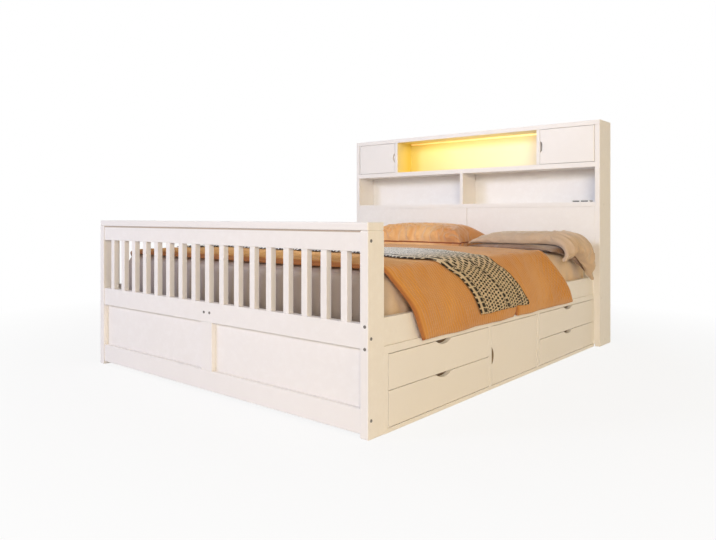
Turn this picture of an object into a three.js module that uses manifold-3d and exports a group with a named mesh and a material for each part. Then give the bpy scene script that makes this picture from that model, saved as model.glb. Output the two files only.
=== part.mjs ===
// Double bed with a spindle footboard, a storage headboard and a drawer cabinet under one side.
// Millimetres. X runs across the bed, Y from the foot to the head, Z up, the floor is Z = 0.
import * as THREE from "three";
import { mergeVertices } from "three/addons/utils/BufferGeometryUtils.js";
import ManifoldModule from "manifold-3d";

const wasm = await ManifoldModule();
wasm.setup();

// Overall sizes
const footHeight = 702;
const headHeight = 1260;
const headOverhang = 29;
const headDepth = 185;
const fitGap = 0.3;

// Mattress, and the clear space round it
const mattressWidth = 1524;
const mattressLength = 2032;
const mattressHeight = 203;
const mattressCorner = 70;
const mattressEdge = 42;
const mattressSideGap = 8;
const mattressFootGap = 12;
const mattressHeadGap = 3;

// Footboard
const postWidth = 32;
const postDepth = 90;
const capThickness = 27;
const footRailSetback = 3;
const footRailThickness = 32;
const upperRailHeight = 68;
const midRailTop = 372;
const midRailHeight = 80;
const bottomRailTop = 96;
const bottomRailHeight = 82;
const stileWidth = 65;
const footPanelSetback = 23;
const footPanelThickness = 9;
const spindleCount = 17;
const spindleEndInset = 70;
const spindleWidth = 27;
const spindleDepth = 25;
const stripWidth = 12;
const stripHeight = 8;

// Headboard
const headSideThickness = 25;
const topBoardThickness = 26;
const doorRowHeight = 206;
const upperShelfThickness = 28;
const openRowHeight = 197;
const lowerShelfThickness = 25;
const headCupboardWidth = 305;
const dividerThickness = 20;
const backThickness = 12;
const lowerPanelJointShift = 38;
const lowerPanelThickness = 15;
const lowerPanelFloorGap = 14;
const crossRailThickness = 26;
const crossRailHeight = 100;
const ledInset = 11;
const ledDepth = 12;
const ledHeight = 7;

// Charging panel on the lower shelf
const chargerInset = 46;
const chargerWidth = 100;
const chargerDepth = 60;
const chargerHeight = 14;
const chargerSetback = 52;
const socketWidth = 36;
const socketHeight = 6;
const socketDepth = 16;
const socketPitch = 46;
const socketCount = 2;

// Side rails, slats and centre beam
const sideRailSetback = 6;
const sideRailThickness = 22;
const sideRailHeight = 95;
const cleatSide = 18;
const slatRise = 43;
const slatThickness = 18;
const slatWidth = 70;
const slatCount = 13;
const slatEndInset = 60;
const slatSideGap = 4;
const tapeInset = 290;
const tapeWidth = 28;
const tapeThickness = 1.4;
const tapeSink = 0.8;
const beamWidth = 40;
const beamHeight = 80;
const legWidth = 40;

// Drawer cabinet
const cabinetDepth = 460;
const boardThickness = 24;
const baseThickness = 15;
const bayHeight = 249;
const cabinetTopThickness = 26;
const cabinetBackThickness = 12;
const cupboardBay = 475;
const frontThickness = 18;
const frontGap = 2.5;
const runnerThickness = 12;
const runnerArm = 40;
const trayBackGap = 10;
const trayTopGap = 12.5;
const traySideGap = 3;
const trayWall = 15;
const trayBottom = 10;
const scoopWidth = 115;
const scoopDepth = 15;

// Doors
const doorThickness = 18;
const doorGap = 2;
const pullHeight = 70;
const pullDepth = 16;
const pinRadius = 3;
const pinSeat = 8;

// Duvet and throw
const bedGap = 0.4;
const clothEase = 10;
const hangGap = 3;
const duvetThickness = 27;
const duvetHangThickness = 15;
const duvetRim = 9;
const duvetFootInset = 2;
const duvetHeadInset = 663;
const duvetHemOverlap = 8;
const duvetFootShift = 198;
const duvetHeadShift = 285;
const duvetWave = 3;
const duvetWaveLength = 310;
const throwThickness = 6;
const throwRim = 3;
const throwFootInset = 338;
const throwWidth = 305;
const throwFan = 250;
const throwRise = 50;
const throwFootShift = 338;
const throwHeadShift = 551;
const throwGap = 5;

// Pillows, placed from the headboard and from the right-hand edge of the mattress
const orangeWidth = 720;
const orangeLength = 450;
const orangeHeight = 146;
const orangeInset = 877;
const orangeHeadInset = 247;
const satinWidth = 560;
const satinLength = 400;
const satinHeight = 32;
const satinInset = 194;
const satinHeadInset = 267;
const beigeWidth = 600;
const beigeLength = 420;
const beigeHeight = 54;
const beigeInset = 179;
const beigeHeadInset = 252;
const pillowRim = 7;
const pillowGap = 5.8;
const pillowHeadGap = 8;
const pillowPress = 70;

// Derived places
const mattressHalf = mattressWidth / 2;
const innerHalf = mattressHalf + mattressSideGap;
const outerHalf = innerHalf + postWidth;
const mattressStart = postDepth + mattressFootGap;
const headFront = mattressStart + mattressLength + mattressHeadGap;
const headBack = headFront + headDepth;
const bedLength = headBack;
const backFront = headBack - backThickness;
const headHalfWidth = outerHalf + headOverhang;
const headInnerHalf = headHalfWidth - headSideThickness;
const nicheHalfWidth = headInnerHalf - headCupboardWidth - dividerThickness;
const sideTop = headHeight - topBoardThickness;
const upperShelfTop = sideTop - doorRowHeight;
const lowerShelfTop = upperShelfTop - upperShelfThickness - openRowHeight;
const spindlePitch = (innerHalf - spindleEndInset) * 2 / (spindleCount - 1);
const capBottom = footHeight - capThickness;
const upperRailBottom = capBottom - upperRailHeight;
const footRailBack = footRailSetback + footRailThickness;
const cabinetTopBottom = baseThickness + bayHeight;
const sideRailBottom = cabinetTopBottom + cabinetTopThickness;
const sideRailTop = sideRailBottom + sideRailHeight;
const railOuter = outerHalf - sideRailSetback;
const railInner = railOuter - sideRailThickness;
const slatTop = sideRailBottom + slatRise;
const slatBottom = slatTop - slatThickness;
const beamBottom = slatBottom - beamHeight;
const cabinetBackFace = outerHalf - cabinetDepth;
const cabinetFoot = postDepth;
const drawerBay = (headFront - cabinetFoot - boardThickness * 4 - cupboardBay) / 2;
const firstBay = cabinetFoot + boardThickness;
const firstBayEnd = firstBay + drawerBay;
const doorBay = firstBayEnd + boardThickness;
const doorBayEnd = doorBay + cupboardBay;
const secondBay = doorBayEnd + boardThickness;
const secondBayEnd = secondBay + drawerBay;
const splitHeight = (baseThickness + cabinetTopBottom) / 2;
const trayHeight = bayHeight / 2 - runnerThickness - trayTopGap;
const frontBack = outerHalf - frontThickness;
const mattressBottom = slatTop + tapeThickness + fitGap;
const mattressTop = mattressBottom + mattressHeight;
const duvetHem = sideRailBottom - duvetHemOverlap;
const satinX = mattressHalf - satinInset;
const satinY = headFront - satinHeadInset;

// Shapes as shares of their own size
const flatShares = [-1, -0.66, -0.33, 0, 0.33, 0.66, 1];
const edgeShare = 0.06;
const drawnInShare = 0.05;
const crownPower = 4;
const crownRoot = 0.5;
const skewPower = 0.8;
const fanStartShare = 0.92;
const fanEndShare = 0.4;
const arcShare = Math.SQRT1_2;
const cornerPillowTurn = -0.32;

// Materials
const whitePaint = new THREE.MeshStandardMaterial({ color: "#ece6e1", roughness: 0.42, metalness: 0 });
const plainWood = new THREE.MeshStandardMaterial({ color: "#cfae80", roughness: 0.62, metalness: 0 });
const steel = new THREE.MeshStandardMaterial({ color: "#b4b6b8", roughness: 0.34, metalness: 0.9 });
const lightDiffuser = new THREE.MeshStandardMaterial({
  color: "#fff3c4",
  roughness: 0.4,
  metalness: 0,
  emissive: "#ffe08a",
});
const whitePlastic = new THREE.MeshStandardMaterial({ color: "#e4e0da", roughness: 0.36, metalness: 0 });
const webbing = new THREE.MeshStandardMaterial({ color: "#d8b98c", roughness: 0.8, metalness: 0 });
const sheetCloth = new THREE.MeshStandardMaterial({ color: "#cfb08c", roughness: 0.85, metalness: 0 });
const duvetCloth = new THREE.MeshStandardMaterial({ color: "#c98a4e", roughness: 0.9, metalness: 0 });
const throwCloth = new THREE.MeshStandardMaterial({ color: "#a18f78", roughness: 0.95, metalness: 0 });
const orangeCloth = new THREE.MeshStandardMaterial({ color: "#d39a63", roughness: 0.88, metalness: 0 });
const beigeCloth = new THREE.MeshStandardMaterial({ color: "#c4a88c", roughness: 0.88, metalness: 0 });
const satinCloth = new THREE.MeshStandardMaterial({ color: "#98796a", roughness: 0.5, metalness: 0 });

const bed = new THREE.Group();
bed.position.y = -bedLength / 2;

function addMesh(name, geometry, material) {
  const mesh = new THREE.Mesh(geometry, material);
  mesh.name = name;
  bed.add(mesh);
  return mesh;
}

function boxGeometry(x0, x1, y0, y1, z0, z1) {
  const geometry = new THREE.BoxGeometry(x1 - x0, y1 - y0, z1 - z0);
  geometry.translate((x0 + x1) / 2, (y0 + y1) / 2, (z0 + z1) / 2);
  return geometry;
}

function board(name, x, y, z, material = whitePaint) {
  return addMesh(name, boxGeometry(x[0], x[1], y[0], y[1], z[0], z[1]), material);
}

// A round bar between two heights, standing at x, y
function standingBar(radius, x, y, z0, z1, sides = 24) {
  const geometry = new THREE.CylinderGeometry(radius, radius, z1 - z0, sides);
  geometry.rotateX(Math.PI / 2);
  geometry.translate(x, y, (z0 + z1) / 2);
  return geometry;
}

function toManifold(geometry) {
  const plain = new THREE.BufferGeometry();
  plain.setAttribute("position", geometry.getAttribute("position").clone());
  if (geometry.index) plain.setIndex(geometry.index.clone());
  const merged = mergeVertices(plain);
  return new wasm.Manifold(
    new wasm.Mesh({
      numProp: 3,
      vertProperties: new Float32Array(merged.getAttribute("position").array),
      triVerts: new Uint32Array(merged.index.array),
    }),
  );
}

function fromManifold(solid) {
  const mesh = solid.getMesh();
  const geometry = new THREE.BufferGeometry();
  geometry.setAttribute("position", new THREE.BufferAttribute(new Float32Array(mesh.vertProperties), 3));
  geometry.setIndex(new THREE.BufferAttribute(new Uint32Array(mesh.triVerts), 1));
  const faceted = geometry.toNonIndexed();
  faceted.computeVertexNormals();
  return faceted;
}

function combine(added, removed) {
  let solid = toManifold(added[0]);
  for (const extra of added.slice(1)) solid = solid.add(toManifold(extra));
  for (const cut of removed) solid = solid.subtract(toManifold(cut));
  return fromManifold(solid);
}

// Radius of the round cutter that leaves a half-moon of this width and depth
function moonRadius(width, depth) {
  return (width * width * 0.25 + depth * depth) / (depth * 2);
}

function sideName(side) {
  return side > 0 ? "right" : "left";
}

// Footboard: posts, cap, three rails, stile, panels and the spindle rack
function buildFootboard() {
  const railY = [footRailSetback, footRailBack];
  const middleY = (footRailSetback + footRailBack) / 2;
  const grooveHalf = stripWidth / 2 + fitGap;
  const grooveHeight = stripHeight + fitGap;
  for (const side of [1, -1]) {
    const x = side > 0 ? [innerHalf, outerHalf] : [-outerHalf, -innerHalf];
    board("foot_post_" + sideName(side), x, [0, postDepth], [0, capBottom]);
  }
  board("foot_cap", [-outerHalf, outerHalf], [0, postDepth], [capBottom, footHeight]);
  const upperRail = combine(
    [boxGeometry(-innerHalf, innerHalf, ...railY, upperRailBottom, capBottom)],
    [boxGeometry(-innerHalf, innerHalf, middleY - grooveHalf, middleY + grooveHalf,
      upperRailBottom - fitGap, upperRailBottom + grooveHeight)],
  );
  addMesh("foot_upper_rail", upperRail, whitePaint);
  const midRail = combine(
    [boxGeometry(-innerHalf, innerHalf, ...railY, midRailTop - midRailHeight, midRailTop)],
    [boxGeometry(-innerHalf, innerHalf, middleY - grooveHalf, middleY + grooveHalf,
      midRailTop - grooveHeight, midRailTop + fitGap)],
  );
  addMesh("foot_mid_rail", midRail, whitePaint);
  board("foot_bottom_rail", [-innerHalf, innerHalf], railY,
    [bottomRailTop - bottomRailHeight, bottomRailTop]);
  const panelZ = [bottomRailTop, midRailTop - midRailHeight];
  board("foot_center_stile", [-stileWidth / 2, stileWidth / 2], railY, panelZ);
  for (const side of [1, -1]) {
    const x = [side * stileWidth / 2, side * innerHalf].sort((a, b) => a - b);
    board("foot_panel_" + sideName(side), x,
      [footPanelSetback, footPanelSetback + footPanelThickness], panelZ);
  }
  const spindles = [];
  for (let i = 0; i < spindleCount; i += 1) {
    const x = (i - (spindleCount - 1) / 2) * spindlePitch;
    spindles.push(boxGeometry(x - spindleWidth / 2, x + spindleWidth / 2,
      middleY - spindleDepth / 2, middleY + spindleDepth / 2, midRailTop, upperRailBottom));
  }
  const stripHalf = stripWidth / 2;
  const stripX = innerHalf - fitGap;
  const lowerStrip = boxGeometry(-stripX, stripX, middleY - stripHalf, middleY + stripHalf,
    midRailTop - stripHeight, midRailTop);
  const upperStrip = boxGeometry(-stripX, stripX, middleY - stripHalf, middleY + stripHalf,
    upperRailBottom, upperRailBottom + stripHeight);
  addMesh("foot_spindle_rack", combine([lowerStrip, ...spindles, upperStrip], []), whitePaint);
}

// Plan outline of a door with a half-round hinge edge, drawn from the pin towards the free edge
function doorBlank(width, z0, z1) {
  const radius = doorThickness / 2;
  const outline = new THREE.Shape();
  outline.moveTo(0, -radius);
  outline.lineTo(width, -radius);
  outline.lineTo(width, radius);
  outline.lineTo(0, radius);
  outline.absarc(0, 0, radius, Math.PI / 2, Math.PI * 1.5, false);
  const geometry = new THREE.ExtrudeGeometry(outline, {
    depth: z1 - z0,
    bevelEnabled: false,
    curveSegments: 12,
  });
  geometry.translate(0, 0, z0);
  return geometry;
}

// A door blank with the pin bore and the half-moon pull cut out
function doorGeometry(width, z0, z1, pullCenter) {
  const bore = standingBar(pinRadius + fitGap, 0, 0, z0 - fitGap, z1 + fitGap);
  const radius = moonRadius(pullHeight, pullDepth);
  const pull = new THREE.CylinderGeometry(radius, radius, doorThickness * 2, 64);
  pull.translate(width + radius - pullDepth, 0, pullCenter);
  return combine([doorBlank(width, z0, z1)], [bore, pull]);
}

// Headboard carcass, its two doors on pins, the light strip and the charging panel
function buildHeadboard() {
  const depth = [headFront, headBack];
  const inside = [headFront, backFront];
  const hingeX = headInnerHalf - doorGap - doorThickness / 2;
  const hingeY = headFront + doorThickness / 2;
  const doorZ = [upperShelfTop + doorGap, sideTop - doorGap];
  const doorWidth = hingeX - nicheHalfWidth - dividerThickness - doorGap;
  for (const side of [1, -1]) {
    const x = side > 0 ? [headInnerHalf, headHalfWidth] : [-headHalfWidth, -headInnerHalf];
    board("head_side_" + sideName(side), x, depth, [0, sideTop]);
  }
  const topSeats = [1, -1].map((side) => standingBar(pinRadius + fitGap, side * hingeX, hingeY,
    sideTop - fitGap, sideTop + pinSeat));
  addMesh("head_top_board", combine(
    [boxGeometry(-headHalfWidth, headHalfWidth, ...depth, sideTop, headHeight)], topSeats), whitePaint);
  const shelfSeats = [1, -1].map((side) => standingBar(pinRadius + fitGap, side * hingeX, hingeY,
    upperShelfTop - pinSeat, upperShelfTop + fitGap));
  addMesh("head_upper_shelf", combine(
    [boxGeometry(-headInnerHalf, headInnerHalf, ...inside,
      upperShelfTop - upperShelfThickness, upperShelfTop)],
    shelfSeats), whitePaint);
  board("head_lower_shelf", [-headInnerHalf, headInnerHalf], inside,
    [lowerShelfTop - lowerShelfThickness, lowerShelfTop]);
  for (const side of [1, -1]) {
    const x = side > 0 ? [nicheHalfWidth, nicheHalfWidth + dividerThickness]
      : [-nicheHalfWidth - dividerThickness, -nicheHalfWidth];
    board("niche_divider_" + sideName(side), x, inside, [upperShelfTop, sideTop]);
  }
  board("shelf_divider", [-dividerThickness / 2, dividerThickness / 2], inside,
    [lowerShelfTop, upperShelfTop - upperShelfThickness]);
  board("head_back_panel", [-headInnerHalf, headInnerHalf], [backFront, headBack],
    [lowerShelfTop - lowerShelfThickness, sideTop]);
  const panelBack = headFront + lowerPanelThickness;
  for (const side of [1, -1]) {
    const joint = lowerPanelJointShift + side * doorGap / 2;
    const x = [joint, side * headInnerHalf].sort((a, b) => a - b);
    board("head_lower_panel_" + sideName(side), x, [headFront, panelBack],
      [lowerPanelFloorGap, lowerShelfTop - lowerShelfThickness]);
  }
  board("head_cross_rail", [-headInnerHalf, headInnerHalf], [panelBack, panelBack + crossRailThickness],
    [sideRailTop - crossRailHeight, sideRailTop]);
  for (const side of [1, -1]) {
    const door = addMesh("head_door_" + sideName(side),
      doorGeometry(doorWidth, ...doorZ, (doorZ[0] + doorZ[1]) / 2), whitePaint);
    if (side > 0) door.geometry.rotateZ(Math.PI);
    door.position.set(side * hingeX, hingeY, 0);
    addMesh("head_door_pin_" + sideName(side), standingBar(pinRadius, side * hingeX, hingeY,
      upperShelfTop - pinSeat + fitGap, sideTop + pinSeat - fitGap), steel);
  }
  const ledHalf = nicheHalfWidth - ledInset;
  board("led_strip", [-ledHalf, ledHalf], [backFront - ledDepth, backFront],
    [sideTop - ledHeight, sideTop], lightDiffuser);
  buildChargingPanel();
}

function buildChargingPanel() {
  const y0 = headFront + chargerSetback;
  const chargerX = headInnerHalf - chargerInset - chargerWidth / 2;
  const body = boxGeometry(chargerX - chargerWidth / 2, chargerX + chargerWidth / 2, y0, y0 + chargerDepth,
    lowerShelfTop, lowerShelfTop + chargerHeight);
  const z0 = lowerShelfTop + (chargerHeight - socketHeight) / 2;
  const sockets = [];
  for (let i = 0; i < socketCount; i += 1) {
    const x = chargerX + (i - (socketCount - 1) / 2) * socketPitch;
    sockets.push(boxGeometry(x - socketWidth / 2, x + socketWidth / 2, y0 - fitGap, y0 + socketDepth,
      z0, z0 + socketHeight));
  }
  addMesh("charging_panel", combine([body], sockets), whitePlastic);
}

// Side rails with their slat cleats, centre beam, legs and the joined slats
function buildBase() {
  const run = [postDepth, headFront];
  for (const side of [1, -1]) {
    const railX = [side * railInner, side * railOuter].sort((a, b) => a - b);
    const cleatX = [side * (railInner - cleatSide), side * railInner].sort((a, b) => a - b);
    const solid = combine([
      boxGeometry(...railX, ...run, sideRailBottom, sideRailTop),
      boxGeometry(...cleatX, ...run, slatBottom - cleatSide, slatBottom),
    ], []);
    addMesh("side_rail_" + sideName(side), solid, whitePaint);
  }
  const beamX = [-beamWidth / 2, beamWidth / 2];
  board("center_beam", beamX, [footRailBack, headFront], [beamBottom, slatBottom], plainWood);
  const middle = (footRailBack + headFront) / 2;
  const legY = [middle - legWidth / 2, middle + legWidth / 2];
  board("beam_leg", beamX, legY, [0, beamBottom], plainWood);
  board("side_leg_left", [-railOuter, -railInner], legY, [0, sideRailBottom]);
  const slatX = railInner - slatSideGap;
  const first = postDepth + slatEndInset;
  const last = headFront - slatEndInset - slatWidth;
  const pieces = [];
  for (let i = 0; i < slatCount; i += 1) {
    const y = first + (last - first) * i / (slatCount - 1);
    pieces.push(boxGeometry(-slatX, slatX, y, y + slatWidth, slatBottom, slatTop));
  }
  for (const side of [1, -1]) {
    const x = side * (slatX - tapeInset);
    pieces.push(boxGeometry(x - tapeWidth / 2, x + tapeWidth / 2, first + tapeWidth, last + tapeWidth,
      slatTop - tapeSink, slatTop + tapeThickness));
  }
  addMesh("slat_roll", combine(pieces, []), webbing);
}

// Drawer cabinet under the right-hand side rail
function buildCabinet() {
  const depth = [cabinetBackFace, outerHalf];
  const inner = [cabinetBackFace + cabinetBackThickness, outerHalf];
  const run = [cabinetFoot, headFront];
  const sideZ = [baseThickness, cabinetTopBottom];
  const hinge = baseDoorHinge();
  addMesh("cabinet_base", combine(
    [boxGeometry(...depth, ...run, 0, baseThickness)],
    [standingBar(pinRadius + fitGap, hinge.x, hinge.y, baseThickness - pinSeat, baseThickness + fitGap)],
  ), whitePaint);
  addMesh("cabinet_top", combine(
    [boxGeometry(...depth, ...run, cabinetTopBottom, sideRailBottom)],
    [standingBar(pinRadius + fitGap, hinge.x, hinge.y,
      cabinetTopBottom - fitGap, cabinetTopBottom + pinSeat)],
  ), whitePaint);
  board("cabinet_end_foot", inner, [cabinetFoot, firstBay], sideZ);
  board("cabinet_partition_foot", inner, [firstBayEnd, doorBay], sideZ);
  board("cabinet_partition_head", inner, [doorBayEnd, secondBay], sideZ);
  board("cabinet_end_head", inner, [secondBayEnd, headFront], sideZ);
  board("cabinet_back", [cabinetBackFace, cabinetBackFace + cabinetBackThickness], run, sideZ);
}

// Open frame that carries an upper drawer: two arms and a rear bar
function buildRunner(name, bayStart) {
  const x0 = cabinetBackFace + cabinetBackThickness;
  const x1 = frontBack - runnerArm;
  const z = [splitHeight - runnerThickness, splitHeight];
  const bayEnd = bayStart + drawerBay;
  addMesh(name, combine(
    [boxGeometry(x0, x1, bayStart, bayEnd, ...z)],
    [boxGeometry(x0 + runnerArm, x1 + fitGap, bayStart + runnerArm, bayEnd - runnerArm,
      z[0] - fitGap, z[1] + fitGap)],
  ), plainWood);
}

// One drawer: an inset front with a finger scoop, and an open tray behind it
function buildDrawer(name, bayStart, z0, z1, floor) {
  const y0 = bayStart + frontGap;
  const y1 = bayStart + drawerBay - frontGap;
  const radius = moonRadius(scoopWidth, scoopDepth);
  const scoop = new THREE.CylinderGeometry(radius, radius, frontThickness * 2, 96);
  scoop.rotateZ(Math.PI / 2);
  scoop.translate(frontBack + frontThickness / 2, (y0 + y1) / 2, z1 + radius - scoopDepth);
  addMesh("drawer_front_" + name, combine(
    [boxGeometry(frontBack, outerHalf, y0, y1, z0, z1)], [scoop]), whitePaint);
  const trayX = [cabinetBackFace + cabinetBackThickness + trayBackGap, frontBack];
  const trayY = [bayStart + traySideGap, bayStart + drawerBay - traySideGap];
  const bottom = floor + fitGap;
  addMesh("drawer_tray_" + name, combine(
    [boxGeometry(...trayX, ...trayY, bottom, bottom + trayHeight)],
    [boxGeometry(trayX[0] + trayWall, trayX[1] - trayWall, trayY[0] + trayWall, trayY[1] - trayWall,
      bottom + trayBottom, bottom + trayHeight + fitGap)],
  ), plainWood);
}

function baseDoorHinge() {
  return { x: outerHalf - doorThickness / 2, y: doorBayEnd - doorGap - doorThickness / 2 };
}

function buildBaseDoor() {
  const hinge = baseDoorHinge();
  const z = [baseThickness + frontGap, cabinetTopBottom - frontGap];
  const width = hinge.y - doorBay - doorGap;
  const door = addMesh("cabinet_door", doorGeometry(width, ...z, (z[0] + z[1]) / 2), whitePaint);
  door.geometry.rotateZ(-Math.PI / 2);
  door.position.set(hinge.x, hinge.y, 0);
  addMesh("cabinet_door_pin", standingBar(pinRadius, hinge.x, hinge.y,
    baseThickness - pinSeat + fitGap, cabinetTopBottom + pinSeat - fitGap), steel);
}

// Line that cloth follows from the middle of the bed over the right-hand edge and down
function drapeLine() {
  const hangX = outerHalf + hangGap;
  const turn = mattressHalf - mattressEdge;
  const bend = (mattressEdge + clothEase) * arcShare;
  const points = [
    [0, mattressTop],
    [turn / 2, mattressTop],
    [turn, mattressTop],
    [turn + bend, mattressTop - mattressEdge + bend],
    [(mattressHalf * 3 + hangX) / 4, mattressTop - mattressEdge],
    [hangX, sideRailTop],
    [hangX, duvetHem],
  ];
  const places = points.map(([x, z]) => new THREE.Vector3(x, 0, z));
  return new THREE.CatmullRomCurve3(places, false, "centripetal");
}

// Place at a signed distance across the bed, lifted off the mattress or off the hang line
function onBed(line, across, y, lift) {
  const share = Math.min(Math.abs(across) / line.getLength(), 1);
  const at = line.getPointAt(share);
  const along = line.getTangentAt(share);
  const side = Math.sign(across) || 1;
  return new THREE.Vector3(side * (at.x - along.z * lift), y, at.z + along.x * lift);
}

// Closed body between a lower and an upper surface over a grid of shares
function layer(columns, rows, lower, upper) {
  const positions = [];
  const index = [];
  for (const surface of [lower, upper]) {
    for (let i = 0; i <= columns; i += 1) {
      for (let j = 0; j <= rows; j += 1) positions.push(...surface(i / columns, j / rows).toArray());
    }
  }
  const stride = rows + 1;
  const shift = (columns + 1) * stride;
  const quad = (a, b, c, d) => index.push(a, b, c, a, c, d);
  for (let i = 0; i < columns; i += 1) {
    for (let j = 0; j < rows; j += 1) {
      const k = i * stride + j;
      quad(k, k + 1, k + stride + 1, k + stride);
      quad(shift + k, shift + k + stride, shift + k + stride + 1, shift + k + 1);
    }
  }
  for (let i = 0; i < columns; i += 1) {
    const k = i * stride;
    quad(k, k + stride, shift + k + stride, shift + k);
    quad(k + stride + rows, k + rows, shift + k + rows, shift + k + stride + rows);
  }
  for (let j = 0; j < rows; j += 1) {
    const k = columns * stride + j;
    quad(j + 1, j, shift + j, shift + j + 1);
    quad(k, k + 1, shift + k + 1, shift + k);
  }
  const geometry = new THREE.BufferGeometry();
  geometry.setAttribute("position", new THREE.Float32BufferAttribute(positions, 3));
  geometry.setIndex(index);
  return toManifold(geometry);
}

// How far down the side a place is, as a share of the whole drop
function dropShare(line, across) {
  const flat = mattressHalf - mattressEdge;
  return Math.max(0, (Math.abs(across) - flat) / (line.getLength() - flat));
}

// Thickness share that falls off towards the rim of a piece
function rimShare(u, v) {
  const near = Math.min(u, 1 - u, v, 1 - v) / edgeShare;
  return Math.min(1, Math.max(0, near));
}

// Places across the bed, from one hem over the top to the other, closer together on the hanging parts
function crossStations(reach, columns) {
  const flat = mattressHalf - mattressEdge;
  const hang = (columns - flatShares.length + 1) / 2;
  const left = Array.from({ length: hang }, (unused, i) => -reach + (reach - flat) * i / hang);
  return [...left, ...flatShares.map((share) => share * flat), ...left.map((across) => -across).reverse()];
}

// Lift of the duvet's underside: flat on the bed, soft folds where it hangs
function duvetFold(drop, y) {
  return bedGap + drop * duvetWave * (1 + Math.sin(y / duvetWaveLength * Math.PI * 2));
}

// Share of its full fan that the throw has opened to, from the right-hand edge leftwards
function fanShare(across) {
  const start = (mattressHalf - mattressEdge) * fanStartShare;
  const end = (mattressHalf - mattressEdge) * fanEndShare;
  return THREE.MathUtils.smoothstep(start - across, 0, start - end);
}

// The duvet's thickness, which falls off where it hangs
function duvetBody(drop) {
  return duvetThickness + (duvetHangThickness - duvetThickness) * Math.min(drop, 1);
}

// Cloth that lies across the bed and hangs down on both sides
function drapedCloth(line, name, material, cloth) {
  const stations = crossStations(cloth.reach, cloth.columns);
  const surface = (upper) => (u, v) => {
    const across = stations[Math.round(u * cloth.columns)];
    const drop = dropShare(line, across) ** skewPower;
    const foot = cloth.foot + cloth.footShift * drop;
    const head = cloth.head + cloth.headShift * drop + cloth.fan * fanShare(across);
    const y = foot + (head - foot) * v;
    const body = cloth.rim + (cloth.thickness(drop) - cloth.rim) * rimShare(u, v);
    return onBed(line, across, y, duvetFold(drop, y) + cloth.lift(drop) + (upper ? body : 0));
  };
  const solid = layer(cloth.columns, cloth.rows, surface(false), surface(true));
  addMesh(name, fromManifold(solid), material);
}

// Shape of a pillow over its own width and length, both from -1 to 1
function crown(a, b) {
  return ((1 - Math.abs(a) ** crownPower) * (1 - Math.abs(b) ** crownPower)) ** crownRoot;
}

// Keeps a pillow's head edge off the headboard by pressing it together there
function pressed(y) {
  const start = headFront - pillowHeadGap - pillowPress;
  if (y <= start) return y;
  return start + pillowPress * (1 - Math.exp((start - y) / pillowPress));
}

function pillow(line, name, material, size, under) {
  const cos = Math.cos(size.turn);
  const sin = Math.sin(size.turn);
  const surface = (upper) => (u, v) => {
    const a = u * 2 - 1;
    const b = v * 2 - 1;
    const wide = a * (1 - drawnInShare * (1 - b * b)) * size.width / 2;
    const long = b * (1 - drawnInShare * (1 - a * a)) * size.length / 2;
    const across = size.x + wide * cos - long * sin;
    const y = size.y + wide * sin + long * cos;
    const body = pillowRim + (size.height - pillowRim) * crown(a, b);
    return onBed(line, across, pressed(y), under(across, y) + (upper ? body : 0));
  };
  addMesh(name, fromManifold(layer(size.columns, size.rows, surface(false), surface(true))), material);
}

// Height of the lower corner pillow's top over the bed, for the pillow that lies on it
function satinTop(across, y) {
  const cos = Math.cos(cornerPillowTurn);
  const sin = Math.sin(cornerPillowTurn);
  const a = ((across - satinX) * cos + (y - satinY) * sin) / (satinWidth / 2);
  const b = ((y - satinY) * cos - (across - satinX) * sin) / (satinLength / 2);
  const body = Math.abs(a) < 1 && Math.abs(b) < 1 ? crown(a, b) : 0;
  return pillowGap + pillowRim + (satinHeight - pillowRim) * body;
}

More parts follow.
